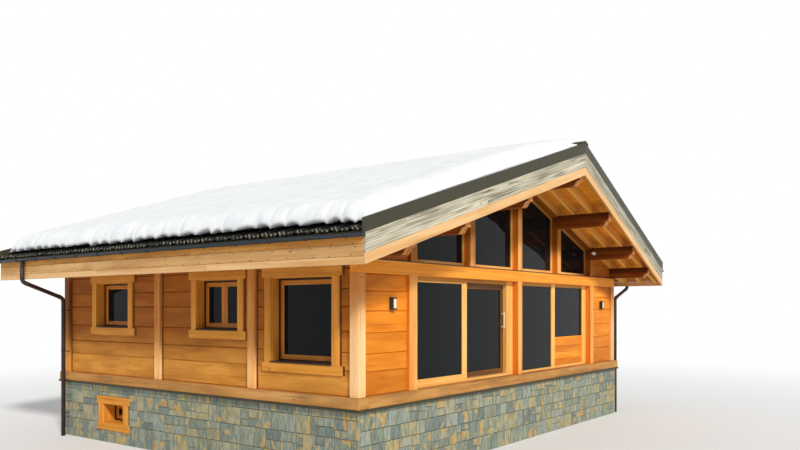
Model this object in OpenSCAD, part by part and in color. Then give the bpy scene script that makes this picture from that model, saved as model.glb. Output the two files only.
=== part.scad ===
/* [House] */
// Width of the gable walls, over the corner posts
house_w = 11700; // [9000:50:14000]
// Length of the eave walls, over the corner posts
house_l = 9500; // [9200:50:13000]
// Height of the living floor above the lowest ground
floor_z = 1550; // [1450:10:2200]
// Height of the posts from the floor to the wall plates
wall_h = 2430; // [2400:10:2900]
// Width and depth of every post
post_w = 200; // [160:10:260]
// Distance from the corner of the gable to the middle of its outer post
outer_bay = 1635; // [1400:5:1800]

/* [Walls] */
// Setback of the squared logs behind the post faces
log_setback = 65; // [40:5:90]
// Thickness of the insulated inner lining
lining_t = 100; // [60:10:200]
// Thickness of the stone basement walls
stone_t = 400; // [300:20:600]
// Height of the sill beam ring
sill_h = 200; // [160:10:260]
// Distance that the sill beams stand out from the posts
sill_out = 80; // [40:5:100]
// Depth of the beam that spans the gable over the door
lintel_h = 261; // [200:1:320]
// Thickness of the basement floor
slab_t = 150; // [100:10:250]

/* [Roof] */
// Pitch of both roof slopes in degrees
pitch = 18.12; // [14:0.01:24]
// Depth of the outer purlins, which lie on the side walls
plate_purlin_h = 257; // [180:1:420]
// Overhang of the roof at the eaves
eave_out = 1100; // [700:10:1400]
// Overhang of the front gable at the eaves
prow_eave = 1080; // [800:10:1300]
// Overhang of the front gable at the ridge
prow_ridge = 1620; // [1400:10:2000]
// Overhang of the back gable
back_out = 930; // [600:10:1300]
// Depth of the other purlins
purlin_h = 300; // [260:5:450]
// Vertical depth of the rafters
rafter_h = 260; // [120:5:300]
// Width of the rafters
rafter_w = 80; // [60:5:120]
// Thickness of the roof boards
deck_t = 30; // [20:1:40]
// Vertical thickness of the insulation above the roof boards
insulation_t = 135; // [80:5:240]
// Vertical thickness of the tiling
tile_t = 100; // [60:5:120]
// Depth of the snow at the ridge
snow_t = 330; // [150:10:500]
// Length of the carving at the front end of each purlin
carve_l = 160; // [120:10:600]
// Rise of that carving
carve_h = 120; // [80:10:280]

/* [Windows and door] */
// Width of a window opening in the side walls
window_w = 1280; // [900:10:1300]
// Height of a window opening in the side walls
window_h = 1035; // [800:5:1100]
// Height of those window sills above the floor
window_z = 1100; // [800:10:1200]
// Width of the tall window nearest the front
tall_window_w = 1560; // [1000:10:1600]
// Sill height of the tall window above the floor
tall_window_z = 530; // [300:10:900]
// Width of a window opening in the back wall
back_window_w = 1100; // [800:10:1200]
// Height of a basement window
cellar_window_h = 440; // [300:10:500]
// Width of a basement window
cellar_window_w = 810; // [500:10:900]
// Setback of the gable glazing behind the post faces
glazing_back = 150; // [100:5:170]
// Width of the fixed door leaf, up to the sliding one
fixed_leaf_w = 1825; // [1700:5:2000]
// Width of the tall pane beside the door
tall_pane_w = 1860; // [1600:10:1900]
// Travel of the sliding door leaf
door_travel = 1600; // [800:50:1600]
// Running clearance round the sliding door leaf
door_gap = 10; // [6:1:12]

/* [Hidden] */

larch = "#d9913f";
pale_larch = "#e8b265";
shaded_larch = "#b07436";
brown_beam = "#7d4a28";
grey_wood = "#a8a596";
slate_stone = "#6c7a78";
dark_metal = "#45433b";
gutter_metal = "#2c3338";
tile_black = "#23211f";
snow_white = "#f4f6f8";
glass_tint = [0.16, 0.20, 0.23, 0.45];

half_w = house_w / 2;
half_l = house_l / 2;
plate_z = floor_z + wall_h;
lintel_z = plate_z - lintel_h;
sill_z = floor_z - sill_h;
inner_back = post_w + lining_t;
log_t = post_w - log_setback;
half_roof = half_w + eave_out;
slope = tan(pitch);
plate_x = half_w - post_w / 2;
// Height of the top of the ridge purlin above the ground, to a whole millimetre
ridge_top = round(plate_z + plate_purlin_h + plate_x * slope);
front_ridge_y = -half_l - prow_ridge;
back_y = half_l + back_out;
// Length by which a cutting body passes what it cuts
reach = 3000;
far_z = ridge_top + reach;
board_t = 40;
flashing_t = 6;

// Clearance between pieces that meet on a sloping face
fit = 0.3;
stone_top = sill_z - flashing_t;

// Half of the joint between the two slopes at the ridge
ridge_joint = 0.25;

// Bottom of each roof layer above the purlin tops
deck_a = rafter_h + fit;
insulation_a = deck_a + deck_t + fit;
tile_a = insulation_a + insulation_t + fit;
snow_a = tile_a + tile_t + fit;
behind_board = board_t + fit;

// Lines of the frame, as distances from the middle of the gable
outer_x = half_w - outer_bay;
upper_post_x = [-outer_x, -outer_x / 2, 0, outer_x / 2, outer_x];
purlin_x = concat([-plate_x], upper_post_x, [plate_x]);
back_post_x = [-outer_x, -outer_x / 3, outer_x / 3, outer_x];
jamb_post_w = 250;
door_l = -outer_x + post_w / 2;
door_r = -post_w / 2;
glazed_l = post_w / 2;
glazed_r = outer_x - post_w / 2;
header_h = 40;

// Lines of the side walls, as distances from the front corner
near_post_y = 2730;
far_post_y = 5730;
side_post_y = [near_post_y, far_post_y];
tall_window_y = 650;
middle_window_y = 3150;
far_window_y = 6865;
// Each side window: near edge, width, sill height, height, number of sashes
side_windows = [
    [tall_window_y, tall_window_w, tall_window_z, window_z + window_h - tall_window_z, 1],
    [middle_window_y, window_w, window_z, window_h, 2],
    [far_window_y, window_w, window_z, window_h, 1]
];
casing_w = 170;
ear = 70;
// Left edge of the back windows, one in the middle of each wide bay
back_windows = [for (x = [-1, 0, 1]) x * outer_x * 2 / 3 - back_window_w / 2];
casing_head = 30;
back_window_z = lintel_z - window_h - casing_w - casing_head;
cellar_window_y = 6960;
cellar_window_z = 450;
// Depth of its frame's inner face in front of the inner face of the stone
cellar_frame_in = 60;

// The joints between the logs, as heights above the living floor; above the
// wall plates they follow at an even course height
log_course = 340;
log_joints = concat(
    [420, 740, 1110, 1500, 1860, 2200],
    [for (i = [1:6]) wall_h + i * log_course]
);
joint_h = 22;
joint_t = 12;

// Height of the purlin tops at a distance from the ridge
function plate(x) = ridge_top - abs(x) * slope;
function front_y(x) = -half_l - prow_eave - (prow_ridge - prow_eave) * (1 - abs(x) / half_roof);
function arc(cx, cy, r, a0, a1, n = 10) =
    [for (i = [0:n]) let (a = a0 + (a1 - a0) * i / n) [cx + r * cos(a), cy + r * sin(a)]];

// A shallow curve from a to b that leaves the chord by sag on its left
function bow(a, b, sag, n = 8) =
    let (v = b - a, side = [-v[1], v[0]] / norm(v))
    [for (i = [0:n]) let (t = i / n) a + t * v + 4 * sag * t * (1 - t) * side];

// Section of a log wall with a groove at each joint; the weather face is at 0
function log_section(z0, z1) = concat(
    [[log_t, z0], [log_t, z1], [0, z1]],
    [
        for (i = [len(log_joints) - 1:-1:0])
            let (z = floor_z + log_joints[i])
            if (z > z0 + joint_h && z < z1 - joint_h)
                each [[0, z + joint_h / 2], [joint_t, z], [0, z - joint_h / 2]]
    ],
    [[0, z0]]
);

// A box given by two opposite corners
module block(a, b) {
    translate(a) cube(b - a);
}

module both_sides() {
    children();
    mirror([1, 0, 0]) children();
}

// A slab of one roof slope between two heights above the purlin tops,
// cut in plan by the given front and back lines
module slope_slab(a, b, x0, x1, front_in, back_in) {
    intersection() {
        translate([0, back_y + reach, 0])
            rotate([90, 0, 0])
                linear_extrude(height = back_y - front_ridge_y + 2 * reach)
                    polygon([
                        [x0, plate(x0) + a], [x1, plate(x1) + a],
                        [x1, plate(x1) + b], [x0, plate(x0) + b]
                    ]);
        linear_extrude(height = far_z)
            polygon([
                [x0, front_y(x0) + front_in], [x1, front_y(x1) + front_in],
                [x1, back_y - back_in], [x0, back_y - back_in]
            ]);
    }
}

module roof_layer(a, b, x1, front_in, back_in) {
    both_sides() slope_slab(a, b, ridge_joint, x1, front_in, back_in);
}

// A band along the front verge, from one plan offset to another
module front_verge_band(a, b, y0, y1, x1) {
    both_sides()
        intersection() {
            slope_slab(a, b, ridge_joint, x1, 0, 0);
            linear_extrude(height = far_z)
                polygon([
                    [0, front_y(0) + y0], [x1, front_y(x1) + y0],
                    [x1, front_y(x1) + y1], [0, front_y(0) + y1]
                ]);
        }
}

module back_verge_band(a, b, y0, y1, x1) {
    both_sides()
        intersection() {
            slope_slab(a, b, ridge_joint, x1, 0, 0);
            block([-1, back_y - y1, 0], [x1 + 1, back_y - y0, far_z]);
        }
}

// The whole space under the rafters, as a prism along the house
module under_rafters(drop = 0) {
    translate([0, back_y + reach, 0])
        rotate([90, 0, 0])
            linear_extrude(height = back_y - front_ridge_y + 2 * reach)
                polygon([
                    [-half_roof, plate(half_roof) - drop], [0, plate(0) - drop],
                    [half_roof, plate(half_roof) - drop], [half_roof, 0], [-half_roof, 0]
                ]);
}

module basement_floor() {
    color("#8c8f8d")
        block([-half_w + stone_t, -half_l + stone_t, 0],
              [half_w - stone_t, half_l - stone_t, slab_t]);
}

module basement_wall_front() {
    color(slate_stone)
        block([-half_w + stone_t, -half_l, 0], [half_w - stone_t, -half_l + stone_t, stone_top]);
}

module basement_wall_back() {
    color(slate_stone)
        block([-half_w + stone_t, half_l - stone_t, 0], [half_w - stone_t, half_l, stone_top]);
}

module basement_side_wall() {
    y0 = -half_l + cellar_window_y;
    difference() {
        block([-half_w, -half_l, 0], [-half_w + stone_t, half_l, stone_top]);
        block([-half_w - 1, y0, cellar_window_z],
              [-half_w + stone_t + 1, y0 + cellar_window_w, cellar_window_z + cellar_window_h]);
    }
}

module basement_wall_left() {
    color(slate_stone) basement_side_wall();
}

module basement_wall_right() {
    color(slate_stone) mirror([1, 0, 0]) basement_side_wall();
}

// Sheet metal between the stone and the sill, with a lip turned down
module drip_flashing() {
    out = sill_out + 20;
    lip = 35;
    color(dark_metal)
        difference() {
            block([-half_w - out, -half_l - out, sill_z - flashing_t - lip],
                  [half_w + out, half_l + out, sill_z]);
            block([-half_w + post_w, -half_l + post_w, 0], [half_w - post_w, half_l - post_w, far_z]);
            block([-half_w - out + flashing_t, -half_l - out + flashing_t, 0],
                  [half_w + out - flashing_t, half_l + out - flashing_t, sill_z - flashing_t]);
        }
}

module sill_beams() {
    color(pale_larch)
        difference() {
            block([-half_w - sill_out, -half_l - sill_out, sill_z],
                  [half_w + sill_out, half_l + sill_out, floor_z]);
            block([-half_w + post_w, -half_l + post_w, 0], [half_w - post_w, half_l - post_w, far_z]);
        }
}

module ground_floor() {
    color("#b98a55")
        block([-half_w + post_w, -half_l + post_w, stone_top],
              [half_w - post_w, half_l - post_w, floor_z]);
}

module side_wall_posts() {
    color(pale_larch)
        both_sides() {
            for (y = side_post_y)
                block([-half_w, -half_l + y - post_w / 2, floor_z],
                      [-half_w + post_w, -half_l + y + post_w / 2, plate_z]);
            block([-half_w, -half_l, floor_z], [-half_w + post_w, -half_l + post_w, lintel_z]);
            block([-half_w, half_l - post_w, floor_z], [-half_w + post_w, half_l, lintel_z]);
        }
}

// A post of the upper gable, cut under its purlin
module upper_post(x, y0) {
    block([x - post_w / 2, y0, plate_z], [x + post_w / 2, y0 + post_w, plate(x) - purlin_h]);
}

module lower_post(x, y0, w = post_w) {
    block([x, y0, floor_z], [x + w, y0 + post_w, lintel_z]);
}

module front_posts() {
    color(pale_larch) {
        lower_post(door_l - jamb_post_w, -half_l, jamb_post_w);
        lower_post(door_r, -half_l);
        lower_post(glazed_r, -half_l);
        for (x = upper_post_x)
            upper_post(x, -half_l);
    }
}

module gable_beam(y0) {
    block([-half_w, y0, lintel_z], [half_w, y0 + post_w, plate_z]);
}

module front_lintel_beam() {
    color(larch) gable_beam(-half_l);
}

module back_timber_frame() {
    color(pale_larch) {
        gable_beam(half_l - post_w);
        for (x = back_post_x)
            lower_post(x - post_w / 2, half_l - post_w);
        for (x = upper_post_x)
            upper_post(x, half_l - post_w);
    }
}

// The openings of one side wall, from the log faces to the room
module side_window_holes(x0, x1) {
    for (w = side_windows)
        block([x0, -half_l + w[0], floor_z + w[2]],
              [x1, -half_l + w[0] + w[1], floor_z + w[2] + w[3]]);
}

module back_window_holes(y0, y1) {
    for (x = back_windows)
        block([x, y0, back_window_z], [x + back_window_w, y1, back_window_z + window_h]);
}

module side_wall_logs() {
    edges = concat([post_w / 2], side_post_y, [house_l - post_w / 2]);
    difference() {
        for (i = [0:2])
            translate([-half_w + log_setback, -half_l + edges[i + 1] - post_w / 2, 0])
                rotate([90, 0, 0])
                    linear_extrude(height = edges[i + 1] - edges[i] - post_w)
                        polygon(log_section(floor_z, plate_z));
        side_window_holes(-half_w - 1, -half_w + post_w + 1);
    }
}

module left_wall_logs() {
    color(shaded_larch) side_wall_logs();
}

module right_wall_logs() {
    color(shaded_larch) mirror([1, 0, 0]) side_wall_logs();
}

// Logs of the front gable between two posts, from one height to another
module gable_logs(x0, x1, z0, z1) {
    translate([x0, -half_l + log_setback, 0])
        rotate([90, 0, 90])
            linear_extrude(height = x1 - x0)
                polygon(log_section(z0, z1));
}

// Logs that close the gable between the wall plate and the outer upper post
module upper_gable_logs() {
    intersection() {
        both_sides()
            gable_logs(-half_w + post_w, -outer_x - post_w / 2, plate_z, plate(outer_x));
        under_rafters();
    }
}

module front_wall_logs() {
    color(larch) {
        gable_logs(-half_w + post_w, door_l - jamb_post_w, floor_z, lintel_z);
        gable_logs(glazed_r + post_w, half_w - post_w, floor_z, lintel_z);
        upper_gable_logs();
    }
}

module back_wall_logs() {
    lower = concat([-plate_x], back_post_x, [plate_x]);
    color(larch) {
        difference() {
            mirror([0, 1, 0])
                for (i = [0:4])
                    gable_logs(lower[i] + post_w / 2, lower[i + 1] - post_w / 2, floor_z, lintel_z);
            back_window_holes(half_l - post_w - 1, half_l);
        }
        mirror([0, 1, 0]) {
            upper_gable_logs();
            intersection() {
                for (i = [0:3])
                    gable_logs(upper_post_x[i] + post_w / 2, upper_post_x[i + 1] - post_w / 2,
                               plate_z, ridge_top);
                under_rafters(header_h + fit);
            }
        }
    }
}

module side_wall_lining() {
    difference() {
        block([-half_w + post_w, -half_l + post_w, floor_z],
              [-half_w + inner_back, half_l - post_w, plate_z]);
        side_window_holes(-half_w, -half_w + inner_back + 1);
    }
}

module left_wall_lining() {
    color("#d8c39a") side_wall_lining();
}

module right_wall_lining() {
    color("#d8c39a") mirror([1, 0, 0]) side_wall_lining();
}

// The lining of a gable, up to the rafters and cut round the purlins
module gable_lining(y0, y1) {
    difference() {
        intersection() {
            block([-half_w + inner_back, y0, floor_z], [half_w - inner_back, y1, far_z]);
            under_rafters();
        }
        for (x = upper_post_x)
            block([x - post_w / 2, y0 - 1, plate(x) - purlin_h], [x + post_w / 2, y1 + 1, far_z]);
    }
}

module front_wall_lining() {
    y0 = -half_l + post_w;
    y1 = -half_l + inner_back;
    color("#d8c39a")
        difference() {
            gable_lining(y0, y1);
            block([door_l, y0 - 1, floor_z - 1], [door_r, y1 + 1, lintel_z]);
            block([glazed_l, y0 - 1, floor_z - 1], [glazed_r, y1 + 1, lintel_z]);
            for (i = [0:3])
                upper_bay(i, 0, y0 - 1, y1 + 1);
        }
}

module back_wall_lining() {
    y0 = half_l - inner_back;
    y1 = half_l - post_w;
    color("#d8c39a")
        difference() {
            gable_lining(y0, y1);
            back_window_holes(y0 - 1, y1 + 1);
        }
}

// Boards round an opening w by h, drawn flat with the opening at the origin;
// the head and the sill board run past the uprights
module casing(w, h, t) {
    linear_extrude(height = t)
        difference() {
            union() {
                translate([-casing_w, -casing_w]) square([w + 2 * casing_w, h + 2 * casing_w]);
                for (y = [-casing_w, h])
                    translate([-casing_w - ear, y]) square([w + 2 * casing_w + 2 * ear, casing_w]);
            }
            square([w, h]);
        }
}

// Stand a flat drawing on the left wall, its height along Z
module on_left(y, z, back) {
    translate([-half_w + back, y, z])
        rotate([90, 0, 90]) mirror([0, 0, 1]) children();
}

module on_back(x, z, back) {
    translate([x, half_l - back, z])
        rotate([90, 0, 0]) mirror([0, 0, 1]) children();
}

module window_casings() {
    color(pale_larch) {
        both_sides() {
            for (w = side_windows)
                on_left(-half_l + w[0], floor_z + w[2], log_setback) casing(w[1], w[3], board_t);
            on_left(-half_l + cellar_window_y, cellar_window_z, 0)
                casing(cellar_window_w, cellar_window_h, board_t);
        }
        for (x = back_windows)
            on_back(x, back_window_z, log_setback) casing(back_window_w, window_h, board_t);
    }
}

// A window, drawn flat: an outer frame, and sashes set a little behind its face
frame_w = 52;
frame_t = 70;
sash_w = 62;
sash_t = 56;
pane_t = 24;

module ring(w, h, border, t) {
    linear_extrude(height = t)
        difference() {
            square([w, h]);
            translate([border, border]) square([w - 2 * border, h - 2 * border]);
        }
}

module window_frame(w, h, sashes) {
    leaf_w = (w - 2 * frame_w) / sashes;
    ring(w, h, frame_w, frame_t);
    for (i = [0:sashes - 1])
        translate([frame_w + i * leaf_w, frame_w, 0])
            ring(leaf_w, h - 2 * frame_w, sash_w, sash_t);
}

module window_panes(w, h, sashes) {
    leaf_w = (w - 2 * frame_w) / sashes;
    for (i = [0:sashes - 1])
        translate([frame_w + i * leaf_w + sash_w, frame_w + sash_w, (sash_t - pane_t) / 2])
            cube([leaf_w - 2 * sash_w, h - 2 * (frame_w + sash_w), pane_t]);
}

// Repeat a drawing in every plain window; kind 0 is the frame, kind 1 the glass
module in_windows(kind) {
    both_sides() {
        for (w = side_windows)
            on_left(-half_l + w[0], floor_z + w[2], inner_back)
                window_part(kind, w[1], w[3], w[4]);
        on_left(-half_l + cellar_window_y, cellar_window_z, stone_t - cellar_frame_in)
            window_part(kind, cellar_window_w, cellar_window_h, 1);
    }
    for (x = back_windows)
        on_back(x, back_window_z, inner_back) window_part(kind, back_window_w, window_h, 2);
}

module window_part(kind, w, h, sashes) {
    if (kind == 0) window_frame(w, h, sashes);
    else window_panes(w, h, sashes);
}

module window_frames() {
    color("#c58a44") in_windows(0);
}

module window_glass() {
    color(glass_tint) in_windows(1);
}

// Folded metal sills on the bottom of the side and back window openings
sill_t = 25;

module window_sills() {
    sill_nose = 20;
    depth = inner_back - frame_t - log_setback + board_t + sill_nose;
    color(dark_metal) {
        both_sides()
            for (w = side_windows)
                on_left(-half_l + w[0], floor_z + w[2], inner_back - frame_t)
                    cube([w[1], sill_t, depth]);
        for (x = back_windows)
            on_back(x, back_window_z, inner_back - frame_t) cube([back_window_w, sill_t, depth]);
    }
}

// The timber frame that carries both door leaves
door_back = 320;
wide_jamb = 290;
left_jamb = 60;
rail = 80;
stile = 110;
leaf_t = 60;
fixed_t = 80;
fixed_stile = 30;
// Length by which the fixed leaf's closing stile covers the sliding leaf's
leaf_lap = 180;
threshold_h = 50;
fixed_y = -half_l + glazing_back;
sliding_y = fixed_y + fixed_t + door_gap;
door_top = lintel_z - rail;
door_foot = floor_z + threshold_h;
leaf_l = door_l + fixed_leaf_w;
leaf_r = door_r - wide_jamb - door_gap;

module door_frame() {
    y1 = -half_l + door_back;
    color(pale_larch)
        difference() {
            block([door_l, fixed_y, floor_z], [door_r, y1, lintel_z]);
            block([door_l + left_jamb, fixed_y - 1, door_foot],
                  [door_r - wide_jamb, y1 + 1, door_top]);
        }
}

// The rail that the sliding leaf runs on
track_w = 16;

module door_track() {
    y = sliding_y + leaf_t / 2;
    color("#9aa0a2")
        block([leaf_l - door_travel - door_gap, y - track_w / 2, door_foot],
              [door_r - wide_jamb, y + track_w / 2, door_foot + door_gap - fit]);
}

module door_fixed_leaf() {
    x0 = door_l + left_jamb;
    color(pale_larch)
        difference() {
            block([x0, fixed_y, door_foot], [leaf_l + leaf_lap, fixed_y + fixed_t, door_top]);
            block([x0 + fixed_stile, fixed_y - 1, door_foot + stile],
                  [leaf_l, fixed_y + fixed_t + 1, door_top - fixed_stile]);
        }
}

module door_sliding_leaf() {
    z0 = door_foot + door_gap;
    z1 = door_top - door_gap;
    color(larch)
        difference() {
            block([leaf_l, sliding_y, z0], [leaf_r, sliding_y + leaf_t, z1]);
            block([leaf_l + stile, sliding_y - 1, z0 + stile],
                  [leaf_r - stile, sliding_y + leaf_t + 1, z1 - stile]);
        }
}

module door_sliding_glass() {
    z0 = door_foot + door_gap + stile;
    z1 = door_top - door_gap - stile;
    color(glass_tint)
        block([leaf_l + stile, sliding_y + (leaf_t - pane_t) / 2, z0],
              [leaf_r - stile, sliding_y + (leaf_t + pane_t) / 2, z1]);
}

// A bar handle on two feet near the edge of the closing stile
handle_l = 370;
handle_r = 14;
handle_z = 1270;
handle_out = 45;
handle_edge = 32;
foot_r = 10;
foot_step = 300;

module door_handle() {
    color("#e9e2cf")
        translate([leaf_r - handle_edge, sliding_y, floor_z + handle_z]) {
            translate([0, -handle_out, -handle_l / 2])
                cylinder(h = handle_l, r = handle_r, $fn = 32);
            for (z = [-foot_step / 2, foot_step / 2])
                translate([0, 0, z])
                    rotate([90, 0, 0]) cylinder(h = handle_out, r = foot_r, $fn = 32);
        }
}

// The glazed unit beside the door: a tall pane, a mullion and a pane over a panel
mullion_w = 200;
mullion_l = glazed_l + tall_pane_w;
mullion_r = mullion_l + mullion_w;
panel_top = 800;
panel_foot = 60;
panel_t = 50;
panel_back = 10;
front_jamb = 60;
right_jamb = 240;

module front_glazed_frame() {
    y1 = fixed_y + fixed_t;
    color(pale_larch)
        difference() {
            block([glazed_l, fixed_y, floor_z], [glazed_r, y1, lintel_z]);
            block([glazed_l + front_jamb, fixed_y - 1, door_foot], [mullion_l, y1 + 1, door_top]);
            block([mullion_r, fixed_y - 1, floor_z + panel_foot],
                  [glazed_r - right_jamb, y1 + 1, door_top]);
        }
}

module front_glazed_panel() {
    color(larch)
        block([mullion_r, fixed_y + panel_back, floor_z + panel_foot],
              [glazed_r - right_jamb, fixed_y + panel_back + panel_t, floor_z + panel_top]);
}

module front_glass() {
    y0 = fixed_y + (fixed_t - pane_t) / 2;
    y1 = y0 + pane_t;
    color(glass_tint) {
        block([door_l + left_jamb + fixed_stile, y0, door_foot + stile],
              [leaf_l, y1, door_top - fixed_stile]);
        block([glazed_l + front_jamb, y0, door_foot], [mullion_l, y1, door_top]);
        block([mullion_r, y0, floor_z + panel_top], [glazed_r - right_jamb, y1, door_top]);
    }
}

// One upper bay between two posts, as an outline that follows the roof
module upper_bay(i, inset, y0, y1) {
    x0 = upper_post_x[i] + post_w / 2 + inset;
    x1 = upper_post_x[i + 1] - post_w / 2 - inset;
    drop = header_h + fit + inset / cos(pitch);
    translate([0, y1, 0])
        rotate([90, 0, 0])
            linear_extrude(height = y1 - y0)
                polygon([
                    [x0, plate_z + inset], [x1, plate_z + inset],
                    [x1, plate(x1) - drop], [x0, plate(x0) - drop]
                ]);
}

upper_frame_w = 70;

module upper_window_frames() {
    color(pale_larch)
        for (i = [0:3])
            difference() {
                upper_bay(i, 0, fixed_y, fixed_y + fixed_t);
                upper_bay(i, upper_frame_w, fixed_y - 1, fixed_y + fixed_t + 1);
            }
}

module upper_window_glass() {
    y0 = fixed_y + (fixed_t - pane_t) / 2;
    color(glass_tint)
        for (i = [0:3])
            upper_bay(i, upper_frame_w, y0, y0 + pane_t);
}

// Sloping timbers over the upper bays, between the purlins
module gable_headers() {
    color(larch)
        for (y0 = [-half_l, half_l - post_w])
            both_sides()
                for (i = [3, 4])
                    intersection() {
                        slope_slab(-header_h, 0, 0, half_roof, 0, 0);
                        block([purlin_x[i] + post_w / 2, y0, 0],
                              [purlin_x[i + 1] - post_w / 2, y0 + post_w, far_z]);
                    }
}

// Side view of a purlin. Its front end is carved from below: a round step, a cove,
// a short flat and a blunt end with a small round corner
nose_flat = 30;
nose_r = 12;

function carved_side(y0, y1, bottom, top) =
    let (
        step = [y0 + carve_l * 0.6, bottom + carve_h * 0.5],
        sag = carve_l * 0.06
    )
    concat(
        [[y1, bottom], [y1, top], [y0, top]],
        arc(y0 + nose_r, bottom + carve_h + nose_r, nose_r, 180, 270, 4),
        bow([y0 + nose_flat, bottom + carve_h], step, sag),
        bow(step, [y0 + carve_l, bottom], -sag)
    );

// The end of a purlin lies back from the boards; the outer ones rest on the plates
purlin_end = 100;

module purlin(x) {
    bottom = abs(x) == plate_x ? plate_z : plate(x) - purlin_h;
    intersection() {
        translate([x - post_w / 2, 0, 0])
            rotate([90, 0, 90])
                linear_extrude(height = post_w)
                    polygon(carved_side(front_y(x) + purlin_end, back_y - purlin_end, bottom,
                                        plate(x) + post_w * slope));
        under_rafters();
    }
}

module purlins() {
    color(brown_beam)
        for (x = purlin_x)
            purlin(x);
}

// A pair of rafters that meet at the ridge
module rafter_pair(y0, w) {
    both_sides()
        intersection() {
            slope_slab(0, rafter_h, ridge_joint, half_roof - board_t, 0, 0);
            block([-1, y0, 0], [half_roof, y0 + w, far_z]);
        }
}

// Rafters stand between the two gables, and on each gable a wide one closes the wall
rafter_step = 530;
verge_step = 460;
rafter_count = floor((house_l - 2 * post_w) / rafter_step);

function rafter_y(i) =
    -half_l + i * (house_l - post_w) / rafter_count + (post_w - rafter_w) / 2;

module rafters() {
    color(shaded_larch) {
        for (y = [-half_l - 2 * verge_step, -half_l - verge_step])
            rafter_pair(y, rafter_w);
        for (y = [-half_l, half_l - post_w])
            rafter_pair(y, post_w);
        for (i = [1:rafter_count - 1])
            rafter_pair(rafter_y(i), rafter_w);
        rafter_pair(half_l + verge_step, rafter_w);
        front_verge_band(0, rafter_h, behind_board, behind_board + rafter_w, half_roof - board_t);
        back_verge_band(0, rafter_h, behind_board, behind_board + rafter_w, half_roof - board_t);
    }
}

// Boards that close the eave between the rafters, over the wall plates
module eave_blocking() {
    x0 = half_w - post_w;
    color(shaded_larch)
        difference() {
            roof_layer_band(fit, rafter_h, x0, x0 + board_t);
            for (i = [0:rafter_count])
                block([-half_w, rafter_y(i), 0], [half_w, rafter_y(i) + rafter_w, far_z]);
        }
}

// A strip of a roof layer between two distances from the ridge, inside the gables
module roof_layer_band(a, b, x0, x1) {
    both_sides()
        intersection() {
            slope_slab(a, b, x0, x1, 0, 0);
            block([x0 - 1, -half_l + post_w, 0], [x1 + 1, half_l - post_w, far_z]);
        }
}

module roof_deck() {
    color("#c07f3c")
        roof_layer(deck_a, deck_a + deck_t, half_roof - board_t, behind_board, behind_board);
}

module roof_insulation() {
    color("#9c8a6a")
        roof_layer(insulation_a, insulation_a + insulation_t, half_roof - board_t,
                   behind_board, behind_board);
}

// The tiles run past the eave boards, into the gutter
tile_out = 40;

module roof_tiles() {
    color(tile_black)
        roof_layer(tile_a, tile_a + tile_t, half_roof + tile_out, behind_board, behind_board);
}

// Depth that the snow gains from the ridge to the slopes, and where it is reached
snow_swell = 55;
snow_crest = 1500;
// Distance of the snow from the verges, and of its foot and lip from the eaves
snow_side = 60;
snow_foot = 500;
snow_lip = 100;
// Rise of the lip over the tiles, and width of the round nose above it
snow_lip_rise = 90;
snow_nose = 280;
// Stations behind the verges: distance, and share of the full depth
snow_front = [[0, 0.34], [70, 0.52], [200, 0.72], [430, 0.9], [800, 1]];
snow_back = [[300, 1], [150, 0.86], [60, 0.64], [0, 0.34]];

module roof_snow() {
    color(snow_white)
        difference() {
            snow_blanket();
            ridge_hollow(tile_a + tile_t, cap_top + fit, cap_half_w + fit, behind_board);
        }
}

// A hollow that runs over the ridge in one piece, open at the back
module ridge_hollow(a, b, x1, front_in) {
    intersection() {
        translate([0, back_y, 0])
            rotate([90, 0, 0])
                linear_extrude(height = back_y - front_ridge_y)
                    polygon([
                        [-x1, plate(x1) + a], [0, plate(0) + a], [x1, plate(x1) + a],
                        [x1, plate(x1) + b], [0, plate(0) + b], [-x1, plate(x1) + b]
                    ]);
        linear_extrude(height = far_z)
            polygon([
                [-x1, front_y(x1) + front_in], [0, front_y(0) + front_in],
                [x1, front_y(x1) + front_in], [x1, back_y], [-x1, back_y]
            ]);
    }
}

// Half of a section through the snow, as distances from the ridge and heights over
// the tiles, from the foot under the lip round the nose to the ridge
function snow_half(share) =
    let (
        edge = half_roof - snow_lip,
        lip = snow_lip_rise * share,
        top = (snow_t + snow_swell) * share
    )
    concat(
        [[half_roof - snow_foot, 0], [edge, lip]],
        [for (a = [15:15:90]) [edge - snow_nose * (1 - cos(a)), lip + (top - lip) * sin(a)]],
        [for (t = [1, 0.5, 0]) [t * snow_crest, (snow_t + snow_swell * sin(90 * t)) * share]]
    );

// The section from the left foot over the ridge to the right foot, and along the tiles
function snow_ring(share) =
    let (half = snow_half(share), n = len(half))
    concat(
        [for (p = half) [-p[0], p[1]]],
        [for (i = [n - 2:-1:0]) half[i]],
        [[0, 0]]
    );

// Settled snow, thinner at the verges, with a lip that overhangs its foot
module snow_blanket() {
    stations = concat(
        [for (s = snow_front) [s, true]],
        [for (s = snow_back) [s, false]]
    );
    n = len(snow_half(1));
    m = 2 * n;
    last = (len(stations) - 1) * m;
    polyhedron(
        points = [
            for (s = stations) for (p = snow_ring(s[0][1]))
                [
                    p[0],
                    s[1] ? front_y(p[0]) + snow_side + s[0][0] : back_y - snow_side - s[0][0],
                    plate(p[0]) + snow_a + p[1]
                ]
        ],
        faces = concat(
            [[for (i = [0:n - 1]) i, m - 1], [for (i = [n - 1:m - 1]) i]],
            [
                [last + m - 1, for (i = [n - 1:-1:0]) last + i],
                [for (i = [m - 1:-1:n - 1]) last + i]
            ],
            [
                for (row = [0:m:last - m]) for (i = [0:m - 1])
                    let (j = (i + 1) % m)
                    each [[row + i, row + m + j, row + j], [row + i, row + m + i, row + m + j]]
            ]
        )
    );
}

// The joint between the two verge boards, below the rafter tops and over the purlins
board_joint_drop = 160;
board_joint = rafter_h - board_joint_drop;
lower_board_h = 175;
weathered_h = 315;
weathered_top = board_joint + weathered_h;
// Height of the verge flashings over the tiles
flashing_rise = 120;
flashing_top = tile_a + tile_t + flashing_rise;

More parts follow.
